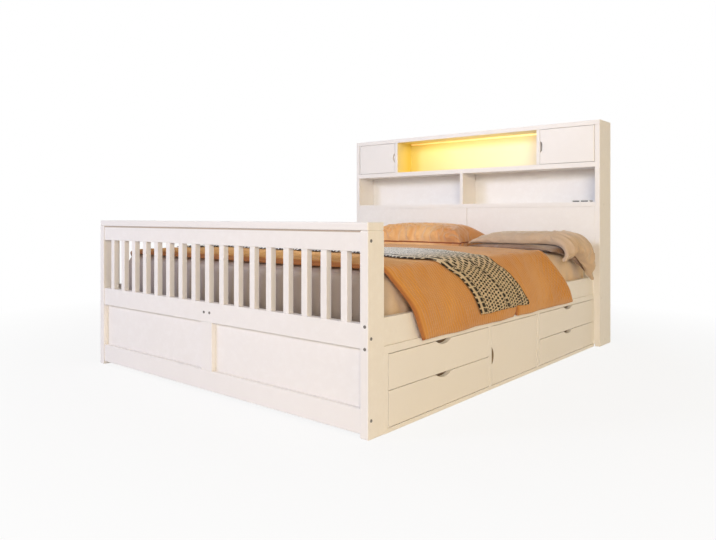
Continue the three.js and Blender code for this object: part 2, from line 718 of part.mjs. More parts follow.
function buildBedding() {
  const outline = new THREE.Shape();
  const x = mattressHalf - mattressEdge;
  const y0 = mattressStart + mattressEdge;
  const y1 = mattressStart + mattressLength - mattressEdge;
  const corner = mattressCorner - mattressEdge;
  outline.moveTo(-x + corner, y0);
  outline.lineTo(x - corner, y0);
  outline.absarc(x - corner, y0 + corner, corner, -Math.PI / 2, 0, false);
  outline.lineTo(x, y1 - corner);
  outline.absarc(x - corner, y1 - corner, corner, 0, Math.PI / 2, false);
  outline.lineTo(-x + corner, y1);
  outline.absarc(-x + corner, y1 - corner, corner, Math.PI / 2, Math.PI, false);
  outline.lineTo(-x, y0 + corner);
  outline.absarc(-x + corner, y0 + corner, corner, Math.PI, Math.PI * 1.5, false);
  const mattress = new THREE.ExtrudeGeometry(outline, {
    depth: mattressHeight - mattressEdge * 2,
    bevelSize: mattressEdge,
    bevelThickness: mattressEdge,
    bevelSegments: 4,
    curveSegments: 4,
  });
  mattress.translate(0, 0, mattressBottom + mattressEdge);
  addMesh("mattress", mattress, sheetCloth);
  const line = drapeLine();
  drapedCloth(line, "duvet", duvetCloth, {
    reach: line.getLength(), foot: mattressStart + duvetFootInset, head: headFront - duvetHeadInset,
    footShift: duvetFootShift, headShift: duvetHeadShift, fan: 0,
    thickness: duvetBody, rim: duvetRim, lift: () => 0, columns: 26, rows: 20,
  });
  drapedCloth(line, "throw", throwCloth, {
    reach: line.getLength() - throwRise, foot: mattressStart + throwFootInset,
    head: mattressStart + throwFootInset + throwWidth, footShift: throwFootShift, headShift: throwHeadShift,
    fan: throwFan, thickness: () => throwThickness, rim: throwRim,
    lift: (drop) => duvetBody(drop) + throwGap, columns: 26, rows: 10,
  });
  pillow(line, "pillow_orange", orangeCloth, {
    x: mattressHalf - orangeInset, y: headFront - orangeHeadInset, width: orangeWidth, length: orangeLength,
    height: orangeHeight, turn: 0, columns: 16, rows: 14,
  }, () => bedGap);
  pillow(line, "pillow_satin", satinCloth, {
    x: satinX, y: satinY, width: satinWidth, length: satinLength, height: satinHeight,
    turn: cornerPillowTurn, columns: 18, rows: 10,
  }, () => bedGap);
  pillow(line, "pillow_beige", beigeCloth, {
    x: mattressHalf - beigeInset, y: headFront - beigeHeadInset, width: beigeWidth, length: beigeLength,
    height: beigeHeight, turn: cornerPillowTurn, columns: 20, rows: 14,
  }, satinTop);
}

buildFootboard();
buildHeadboard();
buildBase();
buildCabinet();
buildRunner("runner_frame_foot", firstBay);
buildRunner("runner_frame_head", secondBay);
for (const [bay, start] of [["foot", firstBay], ["head", secondBay]]) {
  buildDrawer(bay + "_lower", start, baseThickness + frontGap, splitHeight - frontGap / 2, baseThickness);
  buildDrawer(bay + "_upper", start, splitHeight + frontGap / 2, cabinetTopBottom - frontGap, splitHeight);
}
buildBaseDoor();
buildBedding();

const part = new THREE.Group();
part.name = "storage_bed";
part.add(bed);

export default part;
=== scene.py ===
"""Looks of the double bed with storage headboard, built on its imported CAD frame. Metres."""
import math
import bpy
import bmesh
import numpy as np
from mathutils import Matrix, Vector


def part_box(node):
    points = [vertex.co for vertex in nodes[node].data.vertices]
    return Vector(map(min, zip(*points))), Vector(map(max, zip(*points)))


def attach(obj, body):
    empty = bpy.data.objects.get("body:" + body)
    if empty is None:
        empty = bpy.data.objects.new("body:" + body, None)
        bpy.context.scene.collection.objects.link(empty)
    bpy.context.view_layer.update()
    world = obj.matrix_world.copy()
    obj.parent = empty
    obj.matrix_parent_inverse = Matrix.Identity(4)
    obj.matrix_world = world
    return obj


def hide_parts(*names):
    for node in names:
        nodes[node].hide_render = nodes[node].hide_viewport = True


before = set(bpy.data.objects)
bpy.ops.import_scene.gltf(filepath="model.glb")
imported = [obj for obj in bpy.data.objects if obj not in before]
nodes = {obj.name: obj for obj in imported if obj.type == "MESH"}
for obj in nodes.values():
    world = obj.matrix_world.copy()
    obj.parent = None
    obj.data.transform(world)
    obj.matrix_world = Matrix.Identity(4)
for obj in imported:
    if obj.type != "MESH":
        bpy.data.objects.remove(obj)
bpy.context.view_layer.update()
scene = bpy.context.scene
HALF_LENGTH = 1.161


def new_object(name, data):
    made = bpy.data.objects.new(name, data)
    scene.collection.objects.link(made)
    return made


def mesh_from(bm, name, material=None):
    """A new mesh from a bmesh, which is freed."""
    mesh = bpy.data.meshes.new(name)
    bm.to_mesh(mesh)
    bm.free()
    if material:
        mesh.materials.append(material)
    return mesh


def smooth_faces(mesh):
    mesh.polygons.foreach_set("use_smooth", [True] * len(mesh.polygons))


# Camera and light
CAMERA_PLACE = (2.0265, -2.8696, 0.7187)
CAMERA_TURN = 44.13
SENSOR_WIDTH = 36
FOCAL_LENGTH = 32.63
LAMPS = (("front", (-3.4, -6.8, 3.6), (0, -0.8, 0.5), (1.8, 1.6), 214, (0.64, 0.71, 1.0)),
         ("side", (6.5, -1.5, 2.2), (0.5, 0.2, 0.5), (4.0, 2.4), 78, (1.0, 0.63, 0.06)),
         ("fill", (5.6, -7.4, 2.9), (0, 0, 0.6), (3.0, 2.0), 352, (1.0, 0.90, 0.775)),
         ("above", (-0.1, -1.0, 1.3), (0.1, 1.1, 0.55), (1.3, 0.5), 8.8, (0.78, 0.90, 1.0)),
         ("niche", (0.0, 1.055, 1.222), (0.0, 1.13, 1.07), (0.78, 0.02), 0.42, (1.0, 0.66, 0.07)))
AMBIENT_COLOR, AMBIENT_STRENGTH = (1.0, 0.92, 0.78), 0.27


def make_camera():
    data = bpy.data.cameras.new("view")
    data.sensor_width = SENSOR_WIDTH
    data.lens = FOCAL_LENGTH
    data.shift_x = 0.12145
    data.shift_y = -0.0739
    data.clip_end = 200
    camera = new_object("view", data)
    camera.location = CAMERA_PLACE
    camera.rotation_euler = (math.radians(90), 0, math.radians(CAMERA_TURN))
    scene.camera = camera


def area_lamp(name, place, target, size, power, color):
    data = bpy.data.lights.new(name, "AREA")
    data.shape = "RECTANGLE"
    data.size, data.size_y = size
    data.energy = power
    data.color = color
    lamp = new_object(name, data)
    lamp.location = place
    aim = Vector(target) - Vector(place)
    lamp.rotation_euler = aim.to_track_quat("-Z", "Y").to_euler()
    lamp.visible_camera = False


make_camera()
for lamp_values in LAMPS:
    area_lamp(*lamp_values)


# Node graph helpers
class Number:
    """A number that varies over a surface, as a node gives it out. Arithmetic on it adds Math nodes."""

    def __init__(self, graph, socket):
        self.graph = graph
        self.socket = socket

    def __add__(self, other):
        return self.graph.math("ADD", self, other)

    def __sub__(self, other):
        return self.graph.math("SUBTRACT", self, other)

    def __rsub__(self, other):
        return self.graph.math("SUBTRACT", other, self)

    def __mul__(self, other):
        return self.graph.math("MULTIPLY", self, other)

    def __truediv__(self, other):
        return self.graph.math("DIVIDE", self, other)

    def __pow__(self, other):
        return self.graph.math("POWER", self, other)

    def __abs__(self):
        return self.graph.math("ABSOLUTE", self)

    def __lt__(self, other):
        return self.graph.math("LESS_THAN", self, other)

    def __gt__(self, other):
        return self.graph.math("GREATER_THAN", self, other)


class Graph:
    """The node tree of a material or a world, with short calls for the nodes used here."""

    def __init__(self, owner):
        owner.use_nodes = True
        self.owner = owner
        self.tree = owner.node_tree
        self.shader = self.tree.nodes.get("Principled BSDF")
        self.coords = None

    def node(self, kind, inputs=None, **values):
        """A new node with its properties, and its inputs by name or number."""
        made = self.tree.nodes.new(kind)
        for key, value in values.items():
            setattr(made, key, value)
        for key, value in (inputs or {}).items():
            self.feed(made.inputs[key], value)
        return made

    def feed(self, socket, value):
        if isinstance(value, Number):
            value = value.socket
        if isinstance(value, bpy.types.NodeSocket):
            self.tree.links.new(value, socket)
        elif value is not None:
            socket.default_value = (*value, 1) if socket.type == "RGBA" else value

    def math(self, operation, *values):
        made = self.node("ShaderNodeMath", dict(enumerate(values)), operation=operation)
        return Number(self, made.outputs[0])

    def most(self, first, *others):
        """The largest of several numbers."""
        for other in others:
            first = self.math("MAXIMUM", first, other)
        return first

    def wave(self, value, pitch):
        return self.math("SINE", value * (math.tau / pitch))

    def place(self):
        """The place on the object."""
        self.coords = self.coords or self.node("ShaderNodeTexCoord")
        return self.coords.outputs["Object"]

    def split(self, vector):
        return [Number(self, part) for part in self.node("ShaderNodeSeparateXYZ", {0: vector}).outputs]

    def map(self, layer="cloth"):
        """Both coordinates of a map in metres."""
        return self.split(self.node("ShaderNodeUVMap", uv_map=layer).outputs[0])[:2]

    def noise(self, scale, detail=3, rough=0.5, at=None):
        made = self.node("ShaderNodeTexNoise", {"Vector": at or self.place(), "Scale": scale,
                                                "Detail": detail, "Roughness": rough})
        return Number(self, made.outputs["Fac"])

    def stretched(self, scale):
        return self.node("ShaderNodeMapping", {"Vector": self.place(), "Scale": scale}).outputs[0]

    def spread(self, value, low, high, to_low=0.0, to_high=1.0):
        """Takes low to high over to the other two numbers, and keeps to them outside."""
        made = self.node("ShaderNodeMapRange", {"Value": value, "From Min": low, "From Max": high,
                                                "To Min": to_low, "To Max": to_high})
        return Number(self, made.outputs[0])

    def mix(self, share, first, second):
        return self.node("ShaderNodeMix", {0: share, 6: first, 7: second}, data_type="RGBA").outputs[2]

    def bump(self, height, strength, distance, under=None):
        return self.node("ShaderNodeBump", {"Strength": strength, "Distance": distance, "Height": height,
                                            "Normal": under}).outputs[0]

    def finish(self, color=None, rough=None, normal=None, **plain):
        self.feed(self.shader.inputs["Base Color"], color)
        self.feed(self.shader.inputs["Roughness"], rough)
        self.feed(self.shader.inputs["Normal"], normal)
        for key, value in plain.items():
            self.shader.inputs[key.replace("_", " ")].default_value = value
        return self.owner


def surface(name):
    return Graph(bpy.data.materials.new(name))


def toned(color, share):
    return tuple(min(1, part * share) for part in color)


# Materials
NICHE_HALF, NICHE_FRONT, NICHE_BACK, NICHE_FLOOR, NICHE_TOP = 0.4815, 0.98, 1.1495, 1.0275, 1.2345


def white_paint(name="white_paint", niche=False, cap_shadow=False):
    """Rolled paint; with niche it carries a painted glow: warm yellow inside the lit niche, most at its left
    end.

    The other option gives a painted shadow along the top of the footboard's upper rail, for the shade that
    lies under the cap.
    """
    g = surface(name)
    speck = g.noise(55, 4, 0.6)
    color = g.mix(g.spread(g.noise(2.2, 2), 0.35, 0.65), (0.842, 0.812, 0.785), (0.86, 0.83, 0.805))
    color = g.mix(g.spread(speck, 0.62, 0.75, 0, 0.06), color, (0.76, 0.71, 0.66))
    worn = g.node("ShaderNodeNewGeometry").outputs["Pointiness"]
    edge = g.spread(worn, 0.52, 0.58) * g.spread(g.noise(30, 5, 0.7), 0.45, 0.7)
    color = g.mix(edge * 0.35, color, (0.93, 0.915, 0.9))
    if niche:
        # Painted glow: a warm yellow over the niche's inside, for the light strip's glow, strongest at the
        # left end.
        x, y, z = g.split(g.place())
        inside = (abs(x) < NICHE_HALF) * (y > NICHE_FRONT) * (y < NICHE_BACK)
        inside = inside * (z > NICHE_FLOOR) * (z < NICHE_TOP)
        painted_glow = g.mix(g.spread(x, -0.48, -0.12), (0.82, 0.68, 0.19), (0.85, 0.78, 0.50))
        painted_glow = g.mix(g.spread(x, -0.12, 0.4), painted_glow, (0.85, 0.80, 0.66))
        painted_glow = g.mix(g.spread(y, NICHE_FRONT, 1.12, 0.75, 0), painted_glow, (0.85, 0.79, 0.56))
        color = g.mix(inside, color, painted_glow)
    if cap_shadow:
        # Painted shadow: a dark line along the rail's top, under the cap.
        x, y, z = g.split(g.place())
        line = g.spread(z, 0.6675, 0.6715) * g.spread(y, -1.152, -1.150, 1, 0)
        color = g.mix(line, color, (0.42, 0.33, 0.25))
    grain = g.noise(1, 4, 0.6, g.stretched((6, 6, 90)))
    normal = g.bump(g.noise(420, 3, 0.6), 0.07, 0.0006, g.bump(grain, 0.04, 0.001))
    return g.finish(color, g.spread(speck, 0.3, 0.7, 0.36, 0.5), normal)


def wood(name, along, light, dark, rough=0.6):
    """Pine with rings and fine grain that run along one axis."""
    g = surface(name)
    scale, fine_scale = [14, 14, 14], [260, 260, 260]
    scale[along], fine_scale[along] = 0.9, 7
    rings = g.node("ShaderNodeTexWave", {"Vector": g.stretched(scale), "Scale": 1.3, "Distortion": 5.5,
                                         "Detail": 3}, wave_type="RINGS", rings_direction="XYZ"[along])
    fine = g.noise(1, 4, 0.65, g.stretched(fine_scale))
    color = g.mix(rings.outputs["Fac"], light, dark)
    color = g.mix(g.spread(fine, 0.4, 0.7, 0, 0.45), color, toned(dark, 0.72))
    color = g.mix(g.spread(g.noise(1.7, 2), 0.4, 0.65, 0, 0.3), color, toned(light, 1.1))
    return g.finish(color, g.spread(fine, 0.3, 0.7, rough - 0.08, rough + 0.1), g.bump(fine, 0.18, 0.0008))


def steel():
    g = surface("steel")
    lines = g.noise(1, 3, 0.6, g.stretched((900, 900, 60)))
    color = g.mix(g.noise(160, 3), (0.16, 0.145, 0.13), (0.27, 0.25, 0.23))
    return g.finish(color, g.spread(lines, 0.3, 0.7, 0.26, 0.46), g.bump(lines, 0.12, 0.0002), Metallic=1.0)


def light_diffuser():
    """The light strip's cover, with a row of brighter dots."""
    g = surface("light_diffuser")
    dot_half = 0.0083
    x = g.split(g.place())[0]
    color = g.mix(g.spread(x, -0.45, 0.3), (0.62, 0.27, 0.035), (1.0, 0.72, 0.26))
    dots = g.spread(g.math("PINGPONG", x, dot_half), 0, dot_half, 0.82, 1)
    g.feed(g.shader.inputs["Emission Color"], g.mix(dots, (0, 0, 0), color))
    return g.finish((0.9, 0.86, 0.74), g.spread(g.noise(500), 0.3, 0.7, 0.35, 0.5), Emission_Strength=1.0)


def plastic(name, color, rough):
    g = surface(name)
    grain = g.node("ShaderNodeTexVoronoi", {"Vector": g.place(), "Scale": 1400}).outputs["Distance"]
    tint = g.mix(g.spread(g.noise(40), 0.3, 0.7, 0, 0.25), color, toned(color, 0.85))
    return g.finish(tint, g.spread(g.noise(220), 0.3, 0.7, rough - 0.05, rough + 0.08),
                    g.bump(grain, 0.1, 0.0002))


def cloth(name, dark, light, scale=900, sheen=0.25, rough=0.85, end=None):
    """Plain woven cloth that needs no map: crossed threads from the place on the object.

    end paints shade over one end: axis, two places, the share of the shade tone at each, and the shade tone.
    """
    g = surface(name)
    threads = g.noise(1, 2, 0.5, g.stretched((scale, scale * 0.25, scale)))
    crossed = g.noise(1, 2, 0.5, g.stretched((scale * 0.25, scale, scale * 0.5)))
    weave = threads + crossed
    color = g.mix(g.spread(g.noise(3.0, 4, 0.6), 0.32, 0.68), dark, light)
    color = g.mix(g.spread(weave, 0.85, 1.2, 0, 0.25), color, toned(dark, 0.8))
    if end:
        axis, low, high, at_low, at_high, shade_tone = end
        # Painted shade over one end.
        color = g.mix(g.spread(g.split(g.place())[axis], low, high, at_low, at_high), color, shade_tone)
    normal = g.bump(weave, 0.35, 0.0006, g.bump(g.noise(24, 4, 0.55), 0.25, 0.004))
    return g.finish(color, g.spread(weave, 0.7, 1.3, rough - 0.08, rough + 0.08), normal,
                    Sheen_Weight=sheen, Sheen_Roughness=0.5)


RIB_PITCH, FINE_RIB_PITCH, DUVET_THREAD_PITCH = 0.0165, 0.0039, 0.0045


def ribbed_cloth():
    """Ribbed duvet cover; the ribs run across the bed and down its sides.

    The mesh's shade attribute carries painted shade on the rims and in the hem's open corner, and the rib
    valleys carry painted shade too.
    """
    g = surface("duvet_cloth")
    u, v = g.map()
    along = v + g.noise(7, 3) * 0.016
    rib = g.wave(along, RIB_PITCH)
    height = rib + (g.wave(along, FINE_RIB_PITCH) * 0.25 + g.wave(u, DUVET_THREAD_PITCH) * 0.15)
    color = g.mix(g.spread(g.noise(2.6, 4, 0.6), 0.3, 0.7), (0.59, 0.245, 0.042), (0.73, 0.345, 0.075))
    # Painted shade in the rib valleys.
    color = g.mix(g.spread(rib, -1, 0.4, 0.24, 0), color, (0.46, 0.155, 0.034))
    slub = g.noise(1, 3, 0.6, g.stretched((14, 420, 14)))
    color = g.mix(g.spread(slub, 0.56, 0.75, 0, 0.25), color, (0.80, 0.47, 0.18))
    # Painted shade from the mesh's shade attribute: dark rims and the hem's open corner.
    shade = g.node("ShaderNodeAttribute", attribute_name="shade").outputs["Fac"]
    color = g.mix(shade, color, (0.30, 0.085, 0.03))
    normal = g.bump(height, 0.5, 0.0022, g.bump(g.noise(17, 4, 0.55), 0.3, 0.005))
    return g.finish(color, g.spread(rib, -1, 1, 0.94, 0.8), normal, Sheen_Weight=0.2, Sheen_Roughness=0.45)


ROW_PITCH, COLUMN_PITCH, DASH_PITCH, LOOP_PITCH, COURSE_PITCH = 0.0240, 0.0124, 0.0205, 0.0066, 0.0059
ROW_SLANT = 0.3


def knitted_cloth():
    """Knitted throw: staggered dark marks on tan yarn, a dark line, and rows of dashes by edges and fold.

    The marks are smaller on top of the bed than where the throw hangs, and painted light there makes the yarn
    paler and the marks greyer.
    """
    g = surface("throw_cloth")
    u, v = g.map()
    to_fold, to_head = g.map("edges")
    reach = abs(u)
    uneven = g.spread(g.noise(85, 3, 0.6), 0.3, 0.7, -0.5, 0.6)
    wobble = g.spread(g.noise(60, 2), 0.3, 0.7, -1, 1) * g.spread(reach, 0.6, 0.8, 0.3, 0.12)

    def band(value, low, high):
        soft = 0.0012
        return g.spread(value, low - soft, low + soft) * g.spread(value, high - soft, high + soft, 1, 0)

    row = v / ROW_PITCH
    in_row = g.math("FRACT", row) - 0.5
    shift = g.math("FLOOR", row) * 0.5 + wobble + in_row * ROW_SLANT
    in_column = g.math("FRACT", u / COLUMN_PITCH + shift) - 0.5
    wide = g.spread(reach, 0.45, 0.82, 0.18, 0.35)
    far = (in_column / wide) ** 2.0 + ((in_row + wobble) / (wide + 0.03)) ** 2.0
    dots = g.spread(far + uneven, 0.75, 1.25, 1, 0)
    in_dash = abs(g.math("FRACT", u / DASH_PITCH + wobble) - 0.5)
    dashes = g.spread(in_dash + uneven * 0.14, 0.33, 0.43, 1, 0)
    rows = g.most(band(v, 0.030, 0.056), band(to_fold, -0.010, 0.018), band(to_head, 0.002, 0.014),
                  band(v, -0.002, 0.0095))
    clear = g.most(band(v, 0.0, 0.060), band(to_fold, -0.014, 0.022))
    marks = g.most(dots * (1.0 - clear), rows * dashes, band(to_fold, 0.140, 0.147))
    marks = marks * g.spread(g.noise(150, 3, 0.7), 0.3, 0.55, 0.8, 1.0)
    knit = abs(g.wave(u, LOOP_PITCH)) + g.wave(v, COURSE_PITCH) * 0.6
    # Painted highlight: the yarn turns paler on top of the bed than where the throw hangs.
    yarn_and_painted_light = g.mix(g.spread(reach, 0.56, 0.80), (0.97, 0.94, 0.92), (0.82, 0.67, 0.47))
    yarn_and_painted_light = g.mix(g.spread(g.noise(40, 4, 0.7), 0.3, 0.7, 0.25, 0), yarn_and_painted_light, (0.72, 0.55, 0.36))
    # Painted shade in the hollows between the loops.
    yarn_and_painted_light = g.mix(g.spread(knit, -0.4, 0.6, 0.25, 0), yarn_and_painted_light, (0.45, 0.33, 0.20))
    # Painted sheen: the marks are greyer on top of the bed.
    ink_and_painted_sheen = g.mix(g.spread(reach, 0.45, 0.7), (0.075, 0.065, 0.065), (0.012, 0.008, 0.006))
    normal = g.bump(knit + marks * -0.6, 0.8, 0.0016, g.bump(g.noise(30, 3), 0.3, 0.004))
    return g.finish(g.mix(marks, yarn_and_painted_light, ink_and_painted_sheen), g.spread(knit, -0.5, 1.5, 0.98, 0.86), normal, Sheen_Weight=0.02,
                    Sheen_Roughness=0.4, Specular_IOR_Level=0.1)


def satin_cloth():
    g = surface("satin_cloth")
    threads = g.noise(1, 2, 0.5, g.stretched((300, 1500, 300)))
    color = g.mix(g.spread(g.noise(7, 3), 0.35, 0.65), (0.22, 0.13, 0.085), (0.33, 0.21, 0.145))
    normal = g.bump(threads, 0.15, 0.0004, g.bump(g.noise(30, 3), 0.3, 0.004))
    return g.finish(color, g.spread(threads, 0.3, 0.7, 0.3, 0.42), normal, Sheen_Weight=0.4,
                    Sheen_Roughness=0.3, Anisotropic=0.4)


paint = white_paint()
# White paint with a painted glow inside the lit niche, and white paint with a painted shadow under the
# footboard's cap.
niche_glow_paint = white_paint("niche_glow_paint", niche=True)
cap_shadow_paint = white_paint("cap_shadow_paint", cap_shadow=True)
pine_y = wood("plain_wood_along", 1, (0.70, 0.49, 0.27), (0.56, 0.35, 0.16))
pine_z = wood("plain_wood_upright", 2, (0.68, 0.47, 0.26), (0.54, 0.33, 0.15))
# Dark wood that stands as painted shade on the walls of the cabinet door's pull cut.
pull_shade_pine = wood("pull_shade_wood", 2, (0.33, 0.25, 0.165), (0.26, 0.19, 0.12))
# A near-black wood that stands as painted shade inside the finger scoops and the cabinet door's pull.
shaded_pine = wood("shaded_wood", 1, (0.13, 0.085, 0.05), (0.085, 0.052, 0.03))
slat_pine = wood("slat_wood", 0, (0.74, 0.54, 0.32), (0.61, 0.40, 0.20))
bare_steel = steel()
diffuser = light_diffuser()
white_plastic = plastic("white_plastic", (0.80, 0.78, 0.75), 0.34)
dark_plastic = plastic("dark_plastic", (0.016, 0.015, 0.015), 0.45)
# The sheet's foot end carries painted shade: greyer and darker over the foot face.
sheet_material = cloth("sheet_cloth", (0.70, 0.52, 0.36), (0.86, 0.67, 0.49), 800, 0.3,
                       end=(1, -1.05, -0.93, 0.8, 0, (0.33, 0.285, 0.27)))
ticking = cloth("mattress_ticking", (0.66, 0.62, 0.56), (0.78, 0.75, 0.70), 500, 0.1)
tape_cloth = cloth("slat_tape", (0.60, 0.56, 0.48), (0.74, 0.70, 0.62), 700, 0.1)
duvet_material = ribbed_cloth()
throw_material = knitted_cloth()
# The orange cloth's right end carries painted shade: a deeper, darker orange.
orange_material = cloth("orange_cloth", (0.70, 0.36, 0.13), (0.85, 0.56, 0.29), 900, 0.4, 0.82,
                        end=(0, 0.0, 0.16, 0, 0.85, (0.55, 0.235, 0.075)))
seam_material = cloth("orange_seam", (0.22, 0.055, 0.015), (0.33, 0.095, 0.03), 900, 0.1)
beige_material = cloth("beige_cloth", (0.52, 0.375, 0.255), (0.70, 0.525, 0.38), 900, 0.35, 0.82)
satin_material = satin_cloth()


# Materials, rounded edges and faces of the CAD boards
SOFT_NODES = {"mattress", "duvet", "throw", "pillow_orange", "pillow_beige", "pillow_satin"}
ROUNDER = {"foot_post_right": 0.005, "foot_post_left": 0.005, "foot_cap": 0.004, "head_side_right": 0.0035,
           "head_side_left": 0.0035, "head_top_board": 0.0035, "head_lower_shelf": 0.0026,
           "head_lower_panel_right": 0.0026, "head_lower_panel_left": 0.0026, "foot_bottom_rail": 0.0045}
UNPAINTED = (("cabinet_door_pin", bare_steel, 0.0004), ("head_door_pin", bare_steel, 0.0004),
             ("drawer_tray", pine_y, 0.0012), ("runner_frame", pine_y, 0.001), ("center_beam", pine_y, 0.003),
             ("beam_leg", pine_z, 0.003), ("slat_roll", slat_pine, 0.001), ("led_strip", diffuser, 0.0012),
             ("charging_panel", white_plastic, 0.001))


def look_of(name):
    """Material, edge radius and bevel segments of a CAD board."""
    for start, material, radius in UNPAINTED:
        if name.startswith(start):
            return material, radius, 2
    radius = ROUNDER.get(name, 0.0009 if name.startswith(("drawer_front", "cabinet")) else 0.0016)
    lit = name in ("head_back_panel", "head_top_board", "head_upper_shelf") or "niche" in name
    coat = niche_glow_paint if lit else cap_shadow_paint if name == "foot_upper_rail" else paint
    return coat, radius, 3 if radius > 0.003 else 2


def wear(name, material, radius, segments):
    piece = nodes[name]
    piece.data.materials.clear()
    piece.data.materials.append(material)
    weld = piece.modifiers.new("weld", "WELD")
    weld.merge_threshold = 0.00002
    bevel = piece.modifiers.new("edges", "BEVEL")
    bevel.width = radius
    bevel.segments = segments
    bevel.limit_method = "ANGLE"
    bevel.angle_limit = math.radians(50)
    bevel.harden_normals = False


def second_material(name, material, picks):
    """Gives the faces whose centre passes the test a second material."""
    piece = nodes[name]
    piece.data.materials.append(material)
    for face in piece.data.polygons:
        face.material_index = 1 if picks(face.center) else 0


for node_name in nodes:
    if node_name not in SOFT_NODES:
        wear(node_name, *look_of(node_name))
panel_low, panel_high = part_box("charging_panel")
second_material("charging_panel", dark_plastic, lambda c: panel_low.y + 0.0005 < c.y < panel_low.y + 0.02
                and panel_low.z + 0.001 < c.z < panel_high.z - 0.001
                and panel_low.x + 0.001 < c.x < panel_high.x - 0.001)
PULL_HALF, PULL_DEPTH = 0.036, 0.017
door_low, door_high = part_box("cabinet_door")
door_middle = (door_low + door_high) / 2
# Painted shade: the walls of the cabinet door's pull cut take the dark wood.
second_material("cabinet_door", pull_shade_pine, lambda c: abs(c.x - door_middle.x) < 0.004
                and c.y < door_low.y + PULL_DEPTH and abs(c.z - door_middle.z) < PULL_HALF)
TAPE_INSET, TAPE_HALF = 0.29, 0.0145
slat_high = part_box("slat_roll")[1]
second_material("slat_roll", tape_cloth, lambda c: c.z > slat_high.z - 0.0016
                and abs(abs(c.x) - (slat_high.x - TAPE_INSET)) < TAPE_HALF)


# Small fastenings
def turned(name, outline, sides=28):
    """Turned mesh from an outline of (radius, height); it is closed where the outline ends on the axis."""
    bm = bmesh.new()
    rings = []
    for radius, height in outline:
        turns = [math.tau * i / sides for i in range(sides if radius else 1)]
        rings.append([bm.verts.new((radius * math.cos(t), radius * math.sin(t), height)) for t in turns])
    for lower, upper in zip(rings, rings[1:]):
        for i in range(sides):
            j = (i + 1) % sides
            corners = [ring[k % len(ring)] for ring, k in ((lower, i), (lower, j), (upper, j), (upper, i))]
            unique = list(dict.fromkeys(corners))
            if len(unique) > 2:
                bm.faces.new(unique)
    bmesh.ops.recalc_face_normals(bm, faces=bm.faces)
    mesh = mesh_from(bm, name)
    smooth_faces(mesh)
    return mesh


RIM_HIGH, RECESS_TOP, RECESS_FLOOR = 0.0015, 0.0014, 0.0003


def bolt_mesh(name, radius):
    """Barrel bolt head with a rolled rim and a six-sided recess."""
    mesh = turned(name, [(0, 0), (radius, 0), (radius, 0.0007), (radius * 0.94, 0.0013),
                         (radius * 0.8, RIM_HIGH), (radius * 0.62, RIM_HIGH)], 48)
    bm = bmesh.new()
    bm.from_mesh(mesh)
    rim = [v for v in bm.verts if abs(v.co.z - RIM_HIGH) < 1e-6 and v.co.xy.length < radius * 0.7]
    rim.sort(key=lambda v: math.atan2(v.co.y, v.co.x))
    inner, deep = [], []
    for v in rim:
        angle = math.atan2(v.co.y, v.co.x)
        reach = radius * 0.42 * math.cos(math.pi / 6) / math.cos((angle % (math.pi / 3)) - math.pi / 6)
        for ring, height in ((inner, RECESS_TOP), (deep, RECESS_FLOOR)):
            ring.append(bm.verts.new((reach * math.cos(angle), reach * math.sin(angle), height)))
    for i in range(len(rim)):
        j = (i + 1) % len(rim)
        bm.faces.new((rim[i], rim[j], inner[j], inner[i]))
        bm.faces.new((inner[i], inner[j], deep[j], deep[i]))
    bm.faces.new(deep)
    bmesh.ops.recalc_face_normals(bm, faces=bm.faces)
    bm.to_mesh(mesh)
    bm.free()
    return mesh


def put(name, mesh, material, place, facing):
    piece = new_object(name, mesh)
    if not mesh.materials:
        mesh.materials.append(material)
    turn = Vector(facing).to_track_quat("Z", "Y").to_matrix().to_4x4()
    piece.matrix_world = Matrix.Translation(Vector(place)) @ turn
    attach(piece, "bed")


bolt = bolt_mesh("bolt_head", 0.0056)
screw = bolt_mesh("screw_head", 0.0038)
cap_mesh = turned("screw_cover", [(0, 0), (0.0062, 0), (0.0062, 0.0006), (0.0054, 0.0012), (0.0028, 0.0016),
                                  (0, 0.0017)])
FOOT_FRONT, POST_MIDDLE, POST_OUT, SIDE_OUT = -HALF_LENGTH, 0.789, 0.802, 0.831
rail_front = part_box("foot_mid_rail")[0].y
bolts = [((x, rail_front, 0.331), (0, -1, 0)) for x in (-0.016, 0.018)]
bolts += [((POST_MIDDLE, FOOT_FRONT, z), (0, -1, 0)) for z in (0.365, 0.2925)]
for side in (1, -1):
    bolts += [((side * POST_OUT, FOOT_FRONT + 0.0166, z), (side, 0, 0)) for z in (0.642, 0.326, 0.062)]
for count, (place, facing) in enumerate(bolts):
    put(f"bolt_head_{count + 1}", bolt, bare_steel, place, facing)
for side, side_name in ((1, "right"), (-1, "left")):
    for count, (y, z) in enumerate(((1.042, 1.014), (1.045, 0.79), (1.005, 0.268), (1.062, 0.03))):
        place = (side * SIDE_OUT, y, z)
        put(f"screw_cover_{side_name}_{count + 1}", cap_mesh, white_plastic, place, (side, 0, 0))
back_places = [(x, z) for x in (-0.79, -0.4, 0.0, 0.4, 0.79) for z in (0.79, 1.014, 1.222)]
for count, (x, z) in enumerate(back_places):
    put(f"back_screw_{count + 1}", screw, bare_steel, (x, HALF_LENGTH, z), (0, 1, 0))


# Sockets of the charging panel
SOCKET_HALF, SOCKET_HIGH, SOCKET_CORNER, SOCKET_STEP = 0.0175, 0.0026, 0.0012, 0.046


